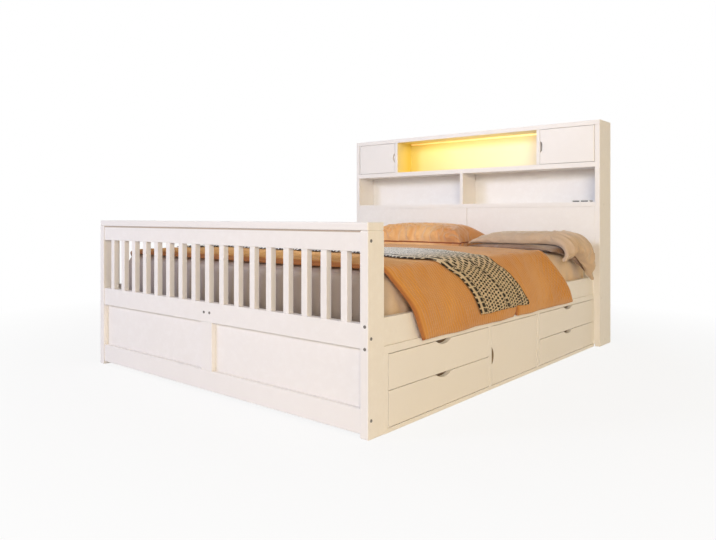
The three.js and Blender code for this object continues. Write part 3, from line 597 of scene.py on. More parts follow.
def socket_mesh():
    """Dark insert with a rounded mouth and two tongues, lying in one slot of the charging panel."""
    bm = bmesh.new()
    wide, high = SOCKET_HALF - SOCKET_CORNER, SOCKET_HIGH - SOCKET_CORNER
    outline = []
    for cx, cz, start in ((wide, high, 0), (-wide, high, 90), (-wide, -high, 180), (wide, -high, 270)):
        for turn in (0, 30, 60, 90):
            angle = math.radians(start + turn)
            outline.append((cx + SOCKET_CORNER * math.cos(angle), cz + SOCKET_CORNER * math.sin(angle)))
    rings = []
    for share, y in ((0.9, 0.0145), (1.0, 0.012), (1.0, 0.0), (0.84, 0.0), (0.82, 0.0006), (0.82, 0.009)):
        squeeze = share if share > 0.9 else share * 0.96
        rings.append([bm.verts.new((px * share, y, pz * squeeze)) for px, pz in outline])
    for first, second in zip(rings, rings[1:]):
        for i in range(len(first)):
            j = (i + 1) % len(first)
            bm.faces.new((first[i], first[j], second[j], second[i]))
    bm.faces.new(rings[0])
    bm.faces.new(rings[-1])
    for x in (-0.0085, 0.0085):
        made = bmesh.ops.create_cube(bm, size=1)["verts"]
        bmesh.ops.scale(bm, verts=made, vec=(0.009, 0.0065, 0.0009))
        bmesh.ops.translate(bm, verts=made, vec=(x, 0.0055, 0))
    bmesh.ops.recalc_face_normals(bm, faces=bm.faces)
    return mesh_from(bm, "socket_insert", dark_plastic)


insert = socket_mesh()
for count, step in enumerate((-0.5, 0.5)):
    socket = new_object(f"socket_insert_{count + 1}", insert)
    socket.location = ((panel_low.x + panel_high.x) / 2 + step * SOCKET_STEP, panel_low.y + 0.0004,
                       (panel_low.z + panel_high.z) / 2)
    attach(socket, "bed")


# Boards behind the finger scoops and the doors' pulls, which ride with their drawer or door; the dark ones
# are painted shade
SCOOP_BACK_HALF, SCOOP_BACK_DEPTH, BACK_GAP = 0.075, 0.0132, 0.0002
PULL_BACK_HALF, PULL_BACK_START, PULL_BACK_END, PULL_BACK_THICK = 0.042, 0.0015, 0.024, 0.003


def backing(name, low, high, material, body):
    bm = bmesh.new()
    made = bmesh.ops.create_cube(bm, size=1)["verts"]
    middle, size = (Vector(low) + Vector(high)) / 2, Vector(high) - Vector(low)
    bmesh.ops.scale(bm, verts=made, vec=size)
    bmesh.ops.translate(bm, verts=made, vec=middle)
    bmesh.ops.bevel(bm, geom=bm.edges[:], offset=0.0006, segments=2, profile=0.5, affect="EDGES")
    piece = new_object(name, mesh_from(bm, name, material))
    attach(piece, body)


for end in ("foot", "head"):
    for level in ("lower", "upper"):
        tray_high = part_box(f"drawer_tray_{end}_{level}")[1]
        front_low, front_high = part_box(f"drawer_front_{end}_{level}")
        middle = (front_low.y + front_high.y) / 2
        backing(f"scoop_back_{end}_{level}",
                (front_low.x - SCOOP_BACK_DEPTH, middle - SCOOP_BACK_HALF, tray_high.z + BACK_GAP),
                (front_low.x - BACK_GAP, middle + SCOOP_BACK_HALF, front_high.z - 0.0006),
                shaded_pine, f"drawer_{end}_{level}")
for side, side_name in ((1, "right"), (-1, "left")):
    door_low, door_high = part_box(f"head_door_{side_name}")
    edge = door_low.x if side > 0 else door_high.x
    reach = sorted((edge + side * PULL_BACK_START, edge + side * PULL_BACK_END))
    middle = (door_low.z + door_high.z) / 2
    backing(f"pull_back_{side_name}", (reach[0], door_high.y + BACK_GAP, middle - PULL_BACK_HALF),
            (reach[1], door_high.y + PULL_BACK_THICK, middle + PULL_BACK_HALF), paint,
            f"head_door_{side_name}")
door_low, door_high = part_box("cabinet_door")
middle = (door_low.z + door_high.z) / 2
backing("pull_back_cabinet",
        (door_low.x - PULL_BACK_THICK, door_low.y + PULL_BACK_START, middle - PULL_BACK_HALF),
        (door_low.x - BACK_GAP, door_low.y + PULL_BACK_END, middle + PULL_BACK_HALF), shaded_pine,
        "cabinet_door")


# The line that cloth follows over the bed's edge
MATTRESS_LOW, MATTRESS_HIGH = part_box("mattress")
MATTRESS_TOP = MATTRESS_HIGH.z
MATTRESS_HALF = MATTRESS_HIGH.x
EDGE = 0.042
FLAT = MATTRESS_HALF - EDGE
HANG_X = 0.805
HANG_START_Z, HEM_Z = 0.385, 0.282


def drape_line(samples=80):
    """A smooth curve of (x, z) from the middle of the mattress's top over its edge and down to the hem."""
    bend = (EDGE + 0.01) * math.sqrt(0.5)
    points = np.array([(0, MATTRESS_TOP), (FLAT / 2, MATTRESS_TOP), (FLAT, MATTRESS_TOP),
                       (FLAT + bend, MATTRESS_TOP - EDGE + bend),
                       ((MATTRESS_HALF * 3 + HANG_X) / 4, MATTRESS_TOP - EDGE),
                       (HANG_X, HANG_START_Z), (HANG_X, HEM_Z)])
    padded = np.vstack([points[0] * 2 - points[1], points, points[-1] * 2 - points[-2]])
    out = []
    for i in range(1, len(padded) - 2):
        p0, p1, p2, p3 = padded[i - 1:i + 3]
        d0, d1, d2 = (np.linalg.norm(b - a) ** 0.5 for a, b in ((p0, p1), (p1, p2), (p2, p3)))
        t1 = ((p1 - p0) / d0 - (p2 - p0) / (d0 + d1) + (p2 - p1) / d1) * d1
        t2 = ((p2 - p1) / d1 - (p3 - p1) / (d1 + d2) + (p3 - p2) / d2) * d1
        t = np.linspace(0, 1, samples, endpoint=False)[:, None]
        square, cube = -3 * p1 + 3 * p2 - 2 * t1 - t2, 2 * p1 - 2 * p2 + t1 + t2
        out.append(p1 + t1 * t + square * t ** 2 + cube * t ** 3)
    return np.vstack(out + [points[-1:]])


LINE = drape_line()
STEPS = np.concatenate([[0], np.cumsum(np.linalg.norm(np.diff(LINE, axis=0), axis=1))])
REACH = float(STEPS[-1])
TANGENT = np.gradient(LINE, STEPS, axis=0)
TANGENT /= np.linalg.norm(TANGENT, axis=1)[:, None]


def on_bed(across, y, lift):
    """World places at signed distances across the bed, lifted off the mattress or the hanging line."""
    far = np.abs(across)
    inside = np.minimum(far, REACH)
    x, z = np.interp(inside, STEPS, LINE[:, 0]), np.interp(inside, STEPS, LINE[:, 1])
    tx, tz = np.interp(inside, STEPS, TANGENT[:, 0]), np.interp(inside, STEPS, TANGENT[:, 1])
    x, z = x + tx * (far - inside), z + tz * (far - inside)
    side = np.where(across < 0, -1.0, 1.0)
    return np.stack([side * (x - tz * lift), y + 0 * x, z + tx * lift], axis=-1)


# Smooth noise for folds and creases
def hills(x, y, seed=0):
    """Gradient noise, about -1 to 1, the same each run."""
    x, y = np.asarray(x, float) + seed * 17.13, np.asarray(y, float) + seed * 31.7
    ix, iy = np.floor(x).astype(int), np.floor(y).astype(int)
    fx, fy = x - ix, y - iy

    def slope(cx, cy, dx, dy):
        turn = (np.sin(cx * 127.1 + cy * 311.7 + seed * 7.7) * 43758.5453) % 1.0 * math.tau
        return np.cos(turn) * dx + np.sin(turn) * dy

    u, v = fx ** 3 * (fx * (fx * 6 - 15) + 10), fy ** 3 * (fy * (fy * 6 - 15) + 10)
    a, b = slope(ix, iy, fx, fy), slope(ix + 1, iy, fx - 1, fy)
    c, d = slope(ix, iy + 1, fx, fy - 1), slope(ix + 1, iy + 1, fx - 1, fy - 1)
    return ((a + (b - a) * u) * (1 - v) + (c + (d - c) * u) * v) * 1.5


def creases(x, y, seed=0):
    """Narrow ridges with soft valleys between them, 0 to 1."""
    return np.clip(1 - np.abs(hills(x, y, seed)) * 2.2, 0, 1) ** 2


def smooth(low, high, value):
    t = np.clip((value - low) / (high - low), 0, 1)
    return t * t * (3 - 2 * t)


# Closed cloth bodies from an upper and a lower surface over one grid
def quads(grid, flip=False):
    a, b, c, d = grid[:-1, :-1], grid[1:, :-1], grid[1:, 1:], grid[:-1, 1:]
    return np.stack((a, d, c, b) if flip else (a, b, c, d), -1).reshape(-1, 4)


def rim_of(grid):
    return np.concatenate([grid[:, 0], grid[-1, 1:], grid[::-1, -1][1:], grid[0, ::-1][1:-1]])


def closed_grid(name, upper, lower, uv, material, edges=None, shade=None):
    """A closed piece from two (n, m, 3) grids of places whose rims lie close together.

    uv and edges are (n, m, 2) maps in metres, and shade is an (n, m) attribute.
    """
    n, m = upper.shape[:2]
    places = np.concatenate([lower.reshape(-1, 3), upper.reshape(-1, 3)])
    k = np.arange(n * m).reshape(n, m)
    rim = rim_of(k)
    following = np.roll(rim, -1)
    side = np.stack([rim, following, following + n * m, rim + n * m], -1)
    faces = np.concatenate([quads(k) + n * m, quads(k, True), side])
    mesh = bpy.data.meshes.new(name)
    mesh.from_pydata(places.tolist(), [], faces.tolist())
    for layer_name, values in (("cloth", uv), ("edges", edges)):
        if values is not None:
            layer = mesh.uv_layers.new(name=layer_name)
            flat = np.concatenate([values.reshape(-1, 2)] * 2)
            layer.data.foreach_set("uv", flat[faces.reshape(-1)].reshape(-1).astype(np.float32))
    if shade is not None:
        layer = mesh.attributes.new("shade", "FLOAT", "POINT")
        layer.data.foreach_set("value", np.concatenate([shade.reshape(-1)] * 2).astype(np.float32))
    smooth_faces(mesh)
    mesh.materials.append(material)
    mesh.update()
    return new_object(name, mesh)


def rounded(distance, radius):
    """Share of full thickness at a distance in from a rounded rim."""
    t = np.clip(distance / radius, 0, 1)
    return np.sqrt(np.clip(1 - (1 - t) ** 2, 0, 1))


# Places of the cloths' edges along the bed, by the distance from its middle
EDGE_BLUR, BLUR_STEPS = 0.02, 30


def edge_line(table):
    """Smooth curve through (distance across, place along the bed from the foot's front)."""
    fine = np.linspace(0, REACH + 0.03, 500)
    values = np.interp(fine, [row[0] for row in table], [row[1] for row in table])
    kernel = np.exp(-(np.arange(-BLUR_STEPS, BLUR_STEPS + 1) * (fine[1] - fine[0]) / EDGE_BLUR) ** 2)
    onward = values[-1] + np.arange(1, BLUR_STEPS + 1) * (values[-1] - values[-2])
    padded = np.concatenate([np.full(BLUR_STEPS, values[0]), values, onward])
    smoothed = np.convolve(padded, kernel / kernel.sum(), "valid")
    return lambda across: np.interp(np.abs(across), fine, smoothed) - HALF_LENGTH


DUVET_FOOT = edge_line([(FLAT, 0.118), (REACH - 0.25, 0.152), (REACH - 0.205, 0.189), (REACH - 0.135, 0.241),
                        (REACH - 0.10, 0.261), (REACH - 0.06, 0.278), (REACH, 0.314)])
DUVET_HEAD = edge_line([(FLAT, 1.490), (REACH - 0.245, 1.540), (REACH - 0.15, 1.630), (REACH - 0.068, 1.728),
                        (REACH, 1.775)])
THROW_FOOT = edge_line([(0.40, 0.490), (0.571, 0.415), (0.66, 0.380), (0.72, 0.400), (0.765, 0.490),
                        (REACH - 0.231, 0.552), (REACH - 0.202, 0.600), (REACH - 0.141, 0.652),
                        (REACH - 0.051, 0.722)])
THROW_HEAD = edge_line([(0.256, 0.985), (0.40, 1.000), (0.54, 0.970), (0.66, 0.915), (0.71, 0.890),
                        (0.765, 0.905), (REACH - 0.246, 0.950), (REACH - 0.19, 1.040), (REACH - 0.12, 1.110),
                        (REACH - 0.057, 1.182)])


# Duvet
DUVET_THICK, DUVET_HANG, DUVET_RIM = 0.027, 0.016, 0.004
NOTCH_Y = 1.087 - HALF_LENGTH


def drop_share(across):
    """0 on top of the bed, 1 at the hem."""
    return np.clip((np.abs(across) - FLAT) / (REACH - FLAT), 0, None) ** 0.8


def duvet_under(across, y):
    """Lift of the duvet's lower face, which stands off the bed's side in shallow waves."""
    drop = np.clip(drop_share(across), 0, 1)
    return 0.0004 + drop * 0.003 * (1 + np.sin(y / 0.31 * math.tau))


def slit(across, y):
    """The hem's open corner, wider towards the hem."""
    up = np.clip(REACH - np.abs(across), 0, None)
    wide = 0.0045 + 0.012 * smooth(0.07, 0.0, up)
    return np.exp(-((y - NOTCH_Y + up * 0.12) / wide) ** 2) * smooth(0.075, 0.05, up) * (across > 0)


def duvet_top(across, y):
    """Lift of the duvet's upper face, with its rim, soft folds and creases."""
    far = np.abs(across)
    foot, head = DUVET_FOOT(across), DUVET_HEAD(across)
    inward = np.minimum(np.minimum(y - foot, head - y), REACH - far)
    drop = np.clip(drop_share(across), 0, 1)
    full = DUVET_THICK + (DUVET_HANG - DUVET_THICK) * smooth(0.42, 0.80, far)
    thick = DUVET_RIM + (full - DUVET_RIM) * rounded(np.clip(inward, 0, None), 0.03)
    body = smooth(0.0, 0.06, inward)
    puff = 0.0035 * hills(across * 4.2, y * 4.2, 1) + 0.0016 * hills(across * 11, y * 11, 2)
    hanging = 0.003 * drop * hills(across * 1.5, y * 9 - across * 2.5, 3)
    pull = 0.003 * creases(across * 3 + y * 2, y * 10 - across * 3, 4) * smooth(0.55, 0.78, far)
    late = smooth(0.30, 0.06, head - y) * smooth(0.72, 0.80, far)
    head_pleats = 0.0035 * late * np.sin((y + 0.5 * (far - REACH)) / 0.034 * math.tau
                                         + 2.2 * hills(across * 5, y * 5, 8))
    ridge = 0.0035 * smooth(0.03, 0.0, np.abs(inward - 0.05)) * hills(across * 16, y * 16, 5)
    lift = thick + body * (puff + hanging + pull + head_pleats + ridge)
    return duvet_under(across, y) + lift - slit(across, y) * (thick - 0.004)


def build_duvet():
    hang = np.linspace(0, 1, 84)
    right = FLAT + (REACH - FLAT) * (1 - (1 - hang) ** 1.25)
    top = np.linspace(-FLAT, FLAT, 130)[1:-1]
    across = np.concatenate([-right[::-1], top, right])
    shares = np.linspace(0, 1, 260)
    shares = shares - 0.0315 * np.sin(shares * math.tau)
    foot, head = DUVET_FOOT(across), DUVET_HEAD(across)
    y = foot[:, None] + (head - foot)[:, None] * shares[None, :]
    s = across[:, None] + 0 * y
    hem = 0.003 * hills(y * 7, s * 0, 6) + 0.012 * np.exp(-((y - NOTCH_Y) / 0.014) ** 2) * (s > 0)
    s_used = np.sign(s) * (np.abs(s) - hem * smooth(REACH - 0.06, REACH, np.abs(s)))
    upper = on_bed(s_used, y, duvet_top(s, y))
    lower = on_bed(s_used, y, duvet_under(s, y))
    run = y - foot[:, None]
    other_rims = np.minimum(head[:, None] - y, REACH - np.abs(s))
    # Painted shade: a dark band along the foot rim, a fainter one on the other rims, and the hem's open
    # corner.
    rim = smooth(0.015, 0.002, run) * 0.7 + smooth(0.012, 0.004, other_rims) * 0.2
    shade = np.clip(slit(s, y) * 0.95 + rim, 0, 1)
    piece = closed_grid("duvet_cover", upper, lower, np.stack([s, run], -1), duvet_material, shade=shade)
    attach(piece, "bed")
    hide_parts("duvet")


# Throw
THROW_REACH, THROW_FOLD = REACH - 0.050, 0.53


def build_throw():
    hang = np.linspace(0, 1, 64)
    right = FLAT + (THROW_REACH - FLAT) * hang
    across = np.concatenate([-right[::-1], np.linspace(-FLAT, FLAT, 150)[1:-1], right])
    foot = THROW_FOOT(across) + 0.003 * hills(across * 6, across * 0, 11)
    head = THROW_HEAD(across) + 0.004 * hills(across * 6, across * 0, 12)
    width = head - foot
    shares = np.concatenate([np.linspace(0, THROW_FOLD, 64), np.linspace(THROW_FOLD + 0.0015, 1, 56)])
    y = foot[:, None] + width[:, None] * shares[None, :]
    s = across[:, None] + 0 * y
    near = shares[None, :] * width[:, None]
    to_fold = near - THROW_FOLD * width[:, None]
    to_head = width[:, None] - near
    doubled = 0.0034 * (1 - smooth(THROW_FOLD - 0.004, THROW_FOLD + 0.004, shares))[None, :]
    edge = np.minimum(np.minimum(near, to_head), THROW_REACH - np.abs(s))
    thick = 0.0016 + 0.0026 * rounded(np.clip(edge, 0, None), 0.008)
    ripple = 0.0016 * (1 + hills(s * 9, y * 14, 13)) * smooth(0, 0.03, edge)
    gather = 0.0014 * drop_share(s) * (1 + np.sin(near / width[:, None] * math.tau * 3.0 + s * 3))
    lift = duvet_top(s, y) + 0.0012 + doubled + ripple + gather
    hem = 0.005 * hills(y * 11, s * 0, 14) * smooth(THROW_REACH - 0.08, THROW_REACH, np.abs(s))
    s_used = s + np.sign(s) * hem
    upper = on_bed(s_used, y, lift + thick)
    lower = on_bed(s_used, y, lift)
    piece = closed_grid("knitted_throw", upper, lower, np.stack([s, near], -1), throw_material,
                        edges=np.stack([to_fold, to_head], -1))
    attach(piece, "bed")
    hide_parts("throw")


# Mattress and its fitted sheet
MIDDLE_Y = -0.043
CORE_INSET, CORE_DROP, CORE_RADIUS = 0.008, 0.0055, 0.048
SHEET_GAP, SHEET_DEPTH, CORE_WIDTH, CORE_LENGTH = 0.0008, 0.27, 1.508, 2.016


def box_shell(low, high, radius, step):
    """A box with rounded edges as one closed grid of quads."""
    bm = bmesh.new()
    spans = [np.linspace(0, 1, max(2, round((high[i] - low[i]) / step)) + 1) for i in range(3)]

    def add(axis, end):
        first, second = [i for i in range(3) if i != axis]
        made = []
        for a in spans[first]:
            line = []
            for b in spans[second]:
                p = [0.0, 0.0, 0.0]
                p[axis], p[first], p[second] = end, a, b
                line.append(bm.verts.new([low[i] + (high[i] - low[i]) * p[i] for i in range(3)]))
            made.append(line)
        for i in range(len(made) - 1):
            for j in range(len(made[0]) - 1):
                bm.faces.new((made[i][j], made[i + 1][j], made[i + 1][j + 1], made[i][j + 1]))

    for axis in range(3):
        for end in (0.0, 1.0):
            add(axis, end)
    bmesh.ops.remove_doubles(bm, verts=bm.verts, dist=step * 0.05)
    bmesh.ops.recalc_face_normals(bm, faces=bm.faces)
    for vert in bm.verts:
        core = Vector([min(max(vert.co[i], low[i] + radius), high[i] - radius) for i in range(3)])
        away = vert.co - core
        if away.length > 1e-9:
            vert.co = core + away.normalized() * radius
    return bm


def sheet_push(p):
    """How far the fitted sheet stands off the mattress: folds on its sides, ripples near the corners."""
    x, y, z = p.T
    along = np.where(np.abs(x) > MATTRESS_HALF - 0.06, y, x)
    down = smooth(MATTRESS_TOP - 0.03, MATTRESS_LOW.z + 0.02, z)
    folds = 0.0035 * down * (1 + np.sin(along / 0.083 * math.tau + 2.4 * hills(along * 3, z * 2, 21)))
    fine = 0.0016 * down * hills(along * 22, z * 5, 22)
    corner = smooth(0.5, 0.75, np.abs(x)) * smooth(0.72, 1.0, np.abs(y - MIDDLE_Y))
    radial = 0.003 * corner * creases(along * 9, z * 9 + x * 7, 23)
    top = 0.0014 * (1 + hills(x * 5, y * 5, 24)) * smooth(MATTRESS_TOP - 0.03, MATTRESS_TOP, z)
    return 0.0004 + folds + np.abs(fine) + radial + top


def build_mattress():
    core_low = MATTRESS_LOW + Vector((CORE_INSET, CORE_INSET, 0.0))
    core_high = MATTRESS_HIGH - Vector((CORE_INSET, CORE_INSET, CORE_DROP))
    mesh = mesh_from(box_shell(core_low, core_high, CORE_RADIUS, 0.02), "mattress_core", ticking)
    smooth_faces(mesh)
    core = new_object("mattress_core", mesh)
    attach(core, "bed")
    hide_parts("mattress")

    gap = Vector((SHEET_GAP,) * 3)
    bm = box_shell(core_low - gap, core_high + gap, CORE_RADIUS + SHEET_GAP, 0.0125)
    gone = []
    for face in bm.faces:
        x, y, z = face.calc_center_median()
        if z < core_low.z + 0.0005 and abs(x) < MATTRESS_HALF - 0.075 and abs(y - MIDDLE_Y) < 0.92:
            gone.append(face)
    bmesh.ops.delete(bm, geom=gone, context="FACES")
    bm.normal_update()
    verts = list(bm.verts)
    p = np.array([v.co for v in verts])
    for vert, amount, height in zip(verts, sheet_push(p), p[:, 2]):
        if height >= core_low.z + 0.012:
            vert.co += vert.normal * float(amount)
    area = sum(face.calc_area() for face in bm.faces)
    mesh = mesh_from(bm, "fitted_sheet", sheet_material)
    smooth_faces(mesh)
    sheet = new_object("fitted_sheet", mesh)
    shell = sheet.modifiers.new("thickness", "SOLIDIFY")
    shell.thickness = 0.0007
    shell.offset = -1
    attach(sheet, "bed")


# Pillows
def flat_pillow(width, length, columns, rows, thick=0.012):
    """A sewn but empty pillowcase: two flat panels joined at the rim, sides slightly drawn in."""
    a, b = np.meshgrid(np.linspace(-1, 1, columns), np.linspace(-1, 1, rows), indexing="ij")
    x = a * (1 - 0.03 * (1 - b ** 2)) * width / 2
    y = b * (1 - 0.03 * (1 - a ** 2)) * length / 2
    body = thick / 2 * ((1 - np.abs(a) ** 4) * (1 - np.abs(b) ** 4)) ** 0.5
    return np.stack([x, y, body], -1), np.stack([x, y, -body], -1)


SWELL_FRAMES, SWELL_GROW, LAID_SHARE = 20, 1.02, 0.06
SWELL_SETTINGS = {"quality": 5, "mass": 0.25, "air_damping": 2.0, "tension_stiffness": 18,
                  "compression_stiffness": 12, "shear_stiffness": 6, "bending_stiffness": 0.35,
                  "use_pressure": True}


def inflate(name, width, length, columns, rows, pressure, seed):
    """Swells a flat pillowcase by cloth simulation, so that its rim gathers; returns the two panels."""
    upper, lower = flat_pillow(width, length, columns, rows)
    inside = (slice(1, -1), slice(1, -1))
    high_index = np.arange(columns * rows).reshape(columns, rows)
    low_index = high_index.copy()
    low_index[inside] = columns * rows + np.arange((columns - 2) * (rows - 2)).reshape(columns - 2, rows - 2)
    jitter = 0.0012 * hills(upper[..., 0] * 25, upper[..., 1] * 25, seed)
    for panel in (upper, lower):
        panel[..., 2][inside] += jitter[inside]
    places = np.concatenate([upper.reshape(-1, 3), lower[inside].reshape(-1, 3)])
    faces = np.concatenate([quads(high_index), quads(low_index, True)])
    mesh = bpy.data.meshes.new(name)
    mesh.from_pydata(places.tolist(), [], faces.tolist())
    body = new_object(name, mesh)
    swell = body.modifiers.new("swell", "CLOTH")
    for key, value in SWELL_SETTINGS.items():
        setattr(swell.settings, key, value)
    swell.settings.uniform_pressure_force = pressure
    swell.settings.effector_weights.gravity = 0
    swell.collision_settings.use_collision = False
    scene.frame_start, scene.frame_end = 1, SWELL_FRAMES
    swell.point_cache.frame_start = 1
    swell.point_cache.frame_end = SWELL_FRAMES
    for number in range(1, SWELL_FRAMES + 1):
        scene.frame_set(number)
    shaped = body.evaluated_get(bpy.context.evaluated_depsgraph_get())
    co = np.zeros(len(places) * 3)
    shaped.to_mesh().vertices.foreach_get("co", co)
    shaped.to_mesh_clear()
    bpy.data.objects.remove(body)
    bpy.data.meshes.remove(mesh)
    scene.frame_set(1)
    co = co.reshape(-1, 3)
    return co[high_index], co[low_index]


def shaped_pillow(name, size, pressure, seed, columns=100, rows=66, sink=0.30):
    """Two panels of a filled pillow of a width, length and height, the lower flattened where it lies."""
    width, length, height = size
    panels = inflate(name, width * SWELL_GROW, length * SWELL_GROW, columns, rows, pressure, seed)
    panels = np.stack(panels)
    low, high = panels.min((0, 1, 2)), panels.max((0, 1, 2))
    panels = (panels - (high + low) / 2) * (np.array(size) / (high - low))
    floor = -height * sink
    z = panels[..., 2]
    z = np.where(z < floor, floor + (z - floor) * LAID_SHARE, z)
    panels[..., 2] = (z - z.min()) * (height / (z.max() - z.min()))
    return panels


HEAD_FRONT, HEAD_INSIDE, HEAD_GAP, SQUASH, PILLOW_LIFT = 0.976, 2.137, 0.008, 0.07, 0.0036


def pressed(y):
    """Places along the bed, squashed short of the headboard."""
    start = HEAD_FRONT - HEAD_GAP - SQUASH
    return np.where(y <= start, y, start + SQUASH * (1 - np.exp(np.minimum(0, start - y) / SQUASH)))


def bare_rest(across, y):
    return PILLOW_LIFT


def lay_pillow(panels, x, y, turn, rest=bare_rest):
    """World places of two panels turned and moved to their place on the bed, lifted by what rest gives."""
    out = []
    for panel in panels:
        wide, long = panel[..., 0], panel[..., 1]
        across = x + wide * math.cos(turn) - long * math.sin(turn)
        along = pressed(y + wide * math.sin(turn) + long * math.cos(turn))
        out.append(on_bed(across, along, panel[..., 2] + rest(across, along)))
    return out


def pillow_piece(name, panels, material, node):
    upper, lower = panels
    piece = closed_grid(name, upper, lower, upper[..., :2], material)
    bm = bmesh.new()
    bm.from_mesh(piece.data)
    bmesh.ops.remove_doubles(bm, verts=bm.verts, dist=0.00005)
    bm.to_mesh(piece.data)
    bm.free()
    smooth_faces(piece.data)
    finer = piece.modifiers.new("smooth", "SUBSURF")
    finer.levels = finer.render_levels = 1
    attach(piece, "bed")
    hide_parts(node)


def piping(name, rim, radius, material):
    """A sewn cord along a closed rim of places."""
    curve = bpy.data.curves.new(name, "CURVE")
    curve.dimensions = "3D"
    curve.bevel_depth = radius
    curve.bevel_resolution = 3
    spline = curve.splines.new("POLY")
    spline.points.add(len(rim) - 1)
    spline.points.foreach_set("co", np.concatenate([rim, np.ones((len(rim), 1))], 1).reshape(-1))
    spline.use_cyclic_u = True
    curve.materials.append(material)
    piece = new_object(name, curve)
    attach(piece, "bed")


ORANGE_SIZE, SATIN_SIZE, BEIGE_SIZE = (0.716, 0.446, 0.146), (0.556, 0.396, 0.033), (0.596, 0.416, 0.058)
ORANGE_X, ORANGE_Y = -0.115, HEAD_INSIDE - 0.247 - HALF_LENGTH
SATIN_X, SATIN_Y, CORNER_TURN = 0.560, HEAD_INSIDE - 0.267 - HALF_LENGTH, -0.32
BEIGE_X, BEIGE_Y = 0.575, HEAD_INSIDE - 0.252 - HALF_LENGTH


def shares_of(panel, size):
    """Places on a panel as shares of its half width and half length."""
    return panel[..., 0] / (size[0] / 2), panel[..., 1] / (size[1] / 2)


def build_orange_pillow():
    upper, lower = shaped_pillow("orange_swell", ORANGE_SIZE, 5.0, 31, sink=0.10)
    a, b = shares_of(upper, ORANGE_SIZE)
    gather = smooth(-0.05, -0.6, b) * smooth(-1.0, -0.93, b)
    folds = gather * creases(a * 6.5 + b * 4.2 + 0.9 * hills(a * 3, b * 3, 41), b * 1.3 - a, 42)
    fine = gather * creases(a * 17 - b * 4 + hills(a * 5, b * 3, 45), b * 2.2, 44)
    diagonal = smooth(-0.1, 0.7, a) * smooth(0.95, 0.55, a) * smooth(0.5, -0.3, b) \
        * creases(a * 4 - b * 2.6, b * 1.4 + a, 43)
    raised = smooth(0.028, 0.06, upper[..., 2])
    upper[..., 2] += (0.008 * folds + 0.008 * diagonal + 0.003 * fine) * raised
    upper[..., 1] -= (0.024 * folds + 0.008 * fine + 0.012 * diagonal) * raised
    height = ORANGE_SIZE[2]
    upper[..., 2] *= height / max(height, float(upper[..., 2].max()))
    panels = lay_pillow((upper, lower), ORANGE_X, ORANGE_Y, 0.0)
    pillow_piece("orange_pillow", panels, orange_material, "pillow_orange")
    piping("orange_pillow_seam", rim_of(panels[0]), 0.0042, seam_material)


def satin_rest(across, y):
    """Lift of the beige pillow, which lies over the satin one."""
    wide = ((across - SATIN_X) * math.cos(CORNER_TURN) + (y - SATIN_Y) * math.sin(CORNER_TURN)) / 0.28
    long = ((y - SATIN_Y) * math.cos(CORNER_TURN) - (across - SATIN_X) * math.sin(CORNER_TURN)) / 0.2
    inside = (np.abs(wide) < 1) & (np.abs(long) < 1)
    crown = np.where(inside, np.clip((1 - np.abs(wide) ** 4) * (1 - np.abs(long) ** 4), 0, None) ** 0.5, 0)
    return PILLOW_LIFT + 0.0025 + 0.034 * crown ** 0.8


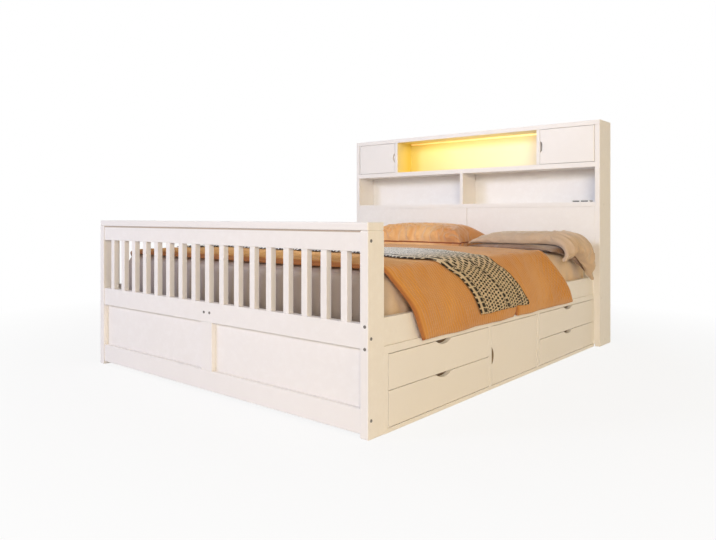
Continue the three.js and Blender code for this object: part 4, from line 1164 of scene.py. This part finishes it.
def build_corner_pillows():
    panels = shaped_pillow("satin_swell", SATIN_SIZE, 3.0, 51, 84, 60)
    panels = lay_pillow(panels, SATIN_X, SATIN_Y, CORNER_TURN)
    pillow_piece("satin_pillow", panels, satin_material, "pillow_satin")

    upper, lower = shaped_pillow("beige_swell", BEIGE_SIZE, 3.5, 61, 100, 70)
    a, b = shares_of(upper, BEIGE_SIZE)
    slack = smooth(0.1, 0.75, a)
    wrinkles = 0.014 * slack * creases(b * 2.2 + a * 0.8, a * 1.5 - b, 62) \
        + 0.007 * slack * creases(b * 6 - a * 2, a * 3, 63) + 0.006 * creases(a * 5 + b * 2, b * 4, 64)
    upper[..., 2] += wrinkles * smooth(0.0, 0.012, upper[..., 2])
    for panel in (upper, lower):
        a, b = shares_of(panel, BEIGE_SIZE)
        panel[..., 0] -= 0.05 * smooth(0.1, 1.0, a) * np.exp(-((b + 0.12) / 0.5) ** 2)
        a = shares_of(panel, BEIGE_SIZE)[0]
        panel[..., 1] += 0.075 * smooth(0.1, 0.8, a) * smooth(0.1, -0.9, b)
    panels = lay_pillow((upper, lower), BEIGE_X, BEIGE_Y, CORNER_TURN, satin_rest)
    pillow_piece("beige_pillow", panels, beige_material, "pillow_beige")


build_mattress()
build_duvet()
build_throw()
build_orange_pillow()
build_corner_pillows()


# Floor and surroundings
WHITE = (1, 1, 1)
FLOOR_DROP = 0.0005


def seen_share(g):
    """1 where the camera, a reflection or a view through glass meets a surface, and 0 for other light."""
    path = g.node("ShaderNodeLightPath").outputs
    return g.most(path["Is Camera Ray"], path["Is Glossy Ray"], path["Is Transmission Ray"])


def blend(g, share, first, second):
    return g.node("ShaderNodeMixShader", {0: share, 1: first.outputs[0], 2: second.outputs[0]}).outputs[0]


def make_world():
    scene.world = bpy.data.worlds.new("surroundings")
    g = Graph(scene.world)
    g.tree.nodes.clear()
    ambient = g.node("ShaderNodeBackground", {0: AMBIENT_COLOR, 1: AMBIENT_STRENGTH})
    white = g.node("ShaderNodeBackground", {0: WHITE, 1: 1.0})
    g.node("ShaderNodeOutputWorld", {0: blend(g, seen_share(g), ambient, white)})


def make_floor():
    """A pale floor that keeps the shadow near the bed and turns to plain white further out."""
    g = surface("pale_floor")
    g.finish((0.86, 0.85, 0.84), 0.9)
    near = g.node("ShaderNodeVectorMath", {0: g.place()}, operation="LENGTH").outputs["Value"]
    share = seen_share(g) * g.spread(near, 1.4, 3.0, 0.86, 1.0)
    white = g.node("ShaderNodeEmission", {0: WHITE, 1: 1.0})
    g.feed(g.tree.nodes["Material Output"].inputs["Surface"], blend(g, share, g.shader, white))
    bm = bmesh.new()
    bmesh.ops.create_circle(bm, cap_ends=True, segments=96, radius=60)
    floor = new_object("floor", mesh_from(bm, "floor", g.owner))
    floor.location.z = -FLOOR_DROP


make_world()
make_floor()
scene.view_settings.view_transform = "Standard"
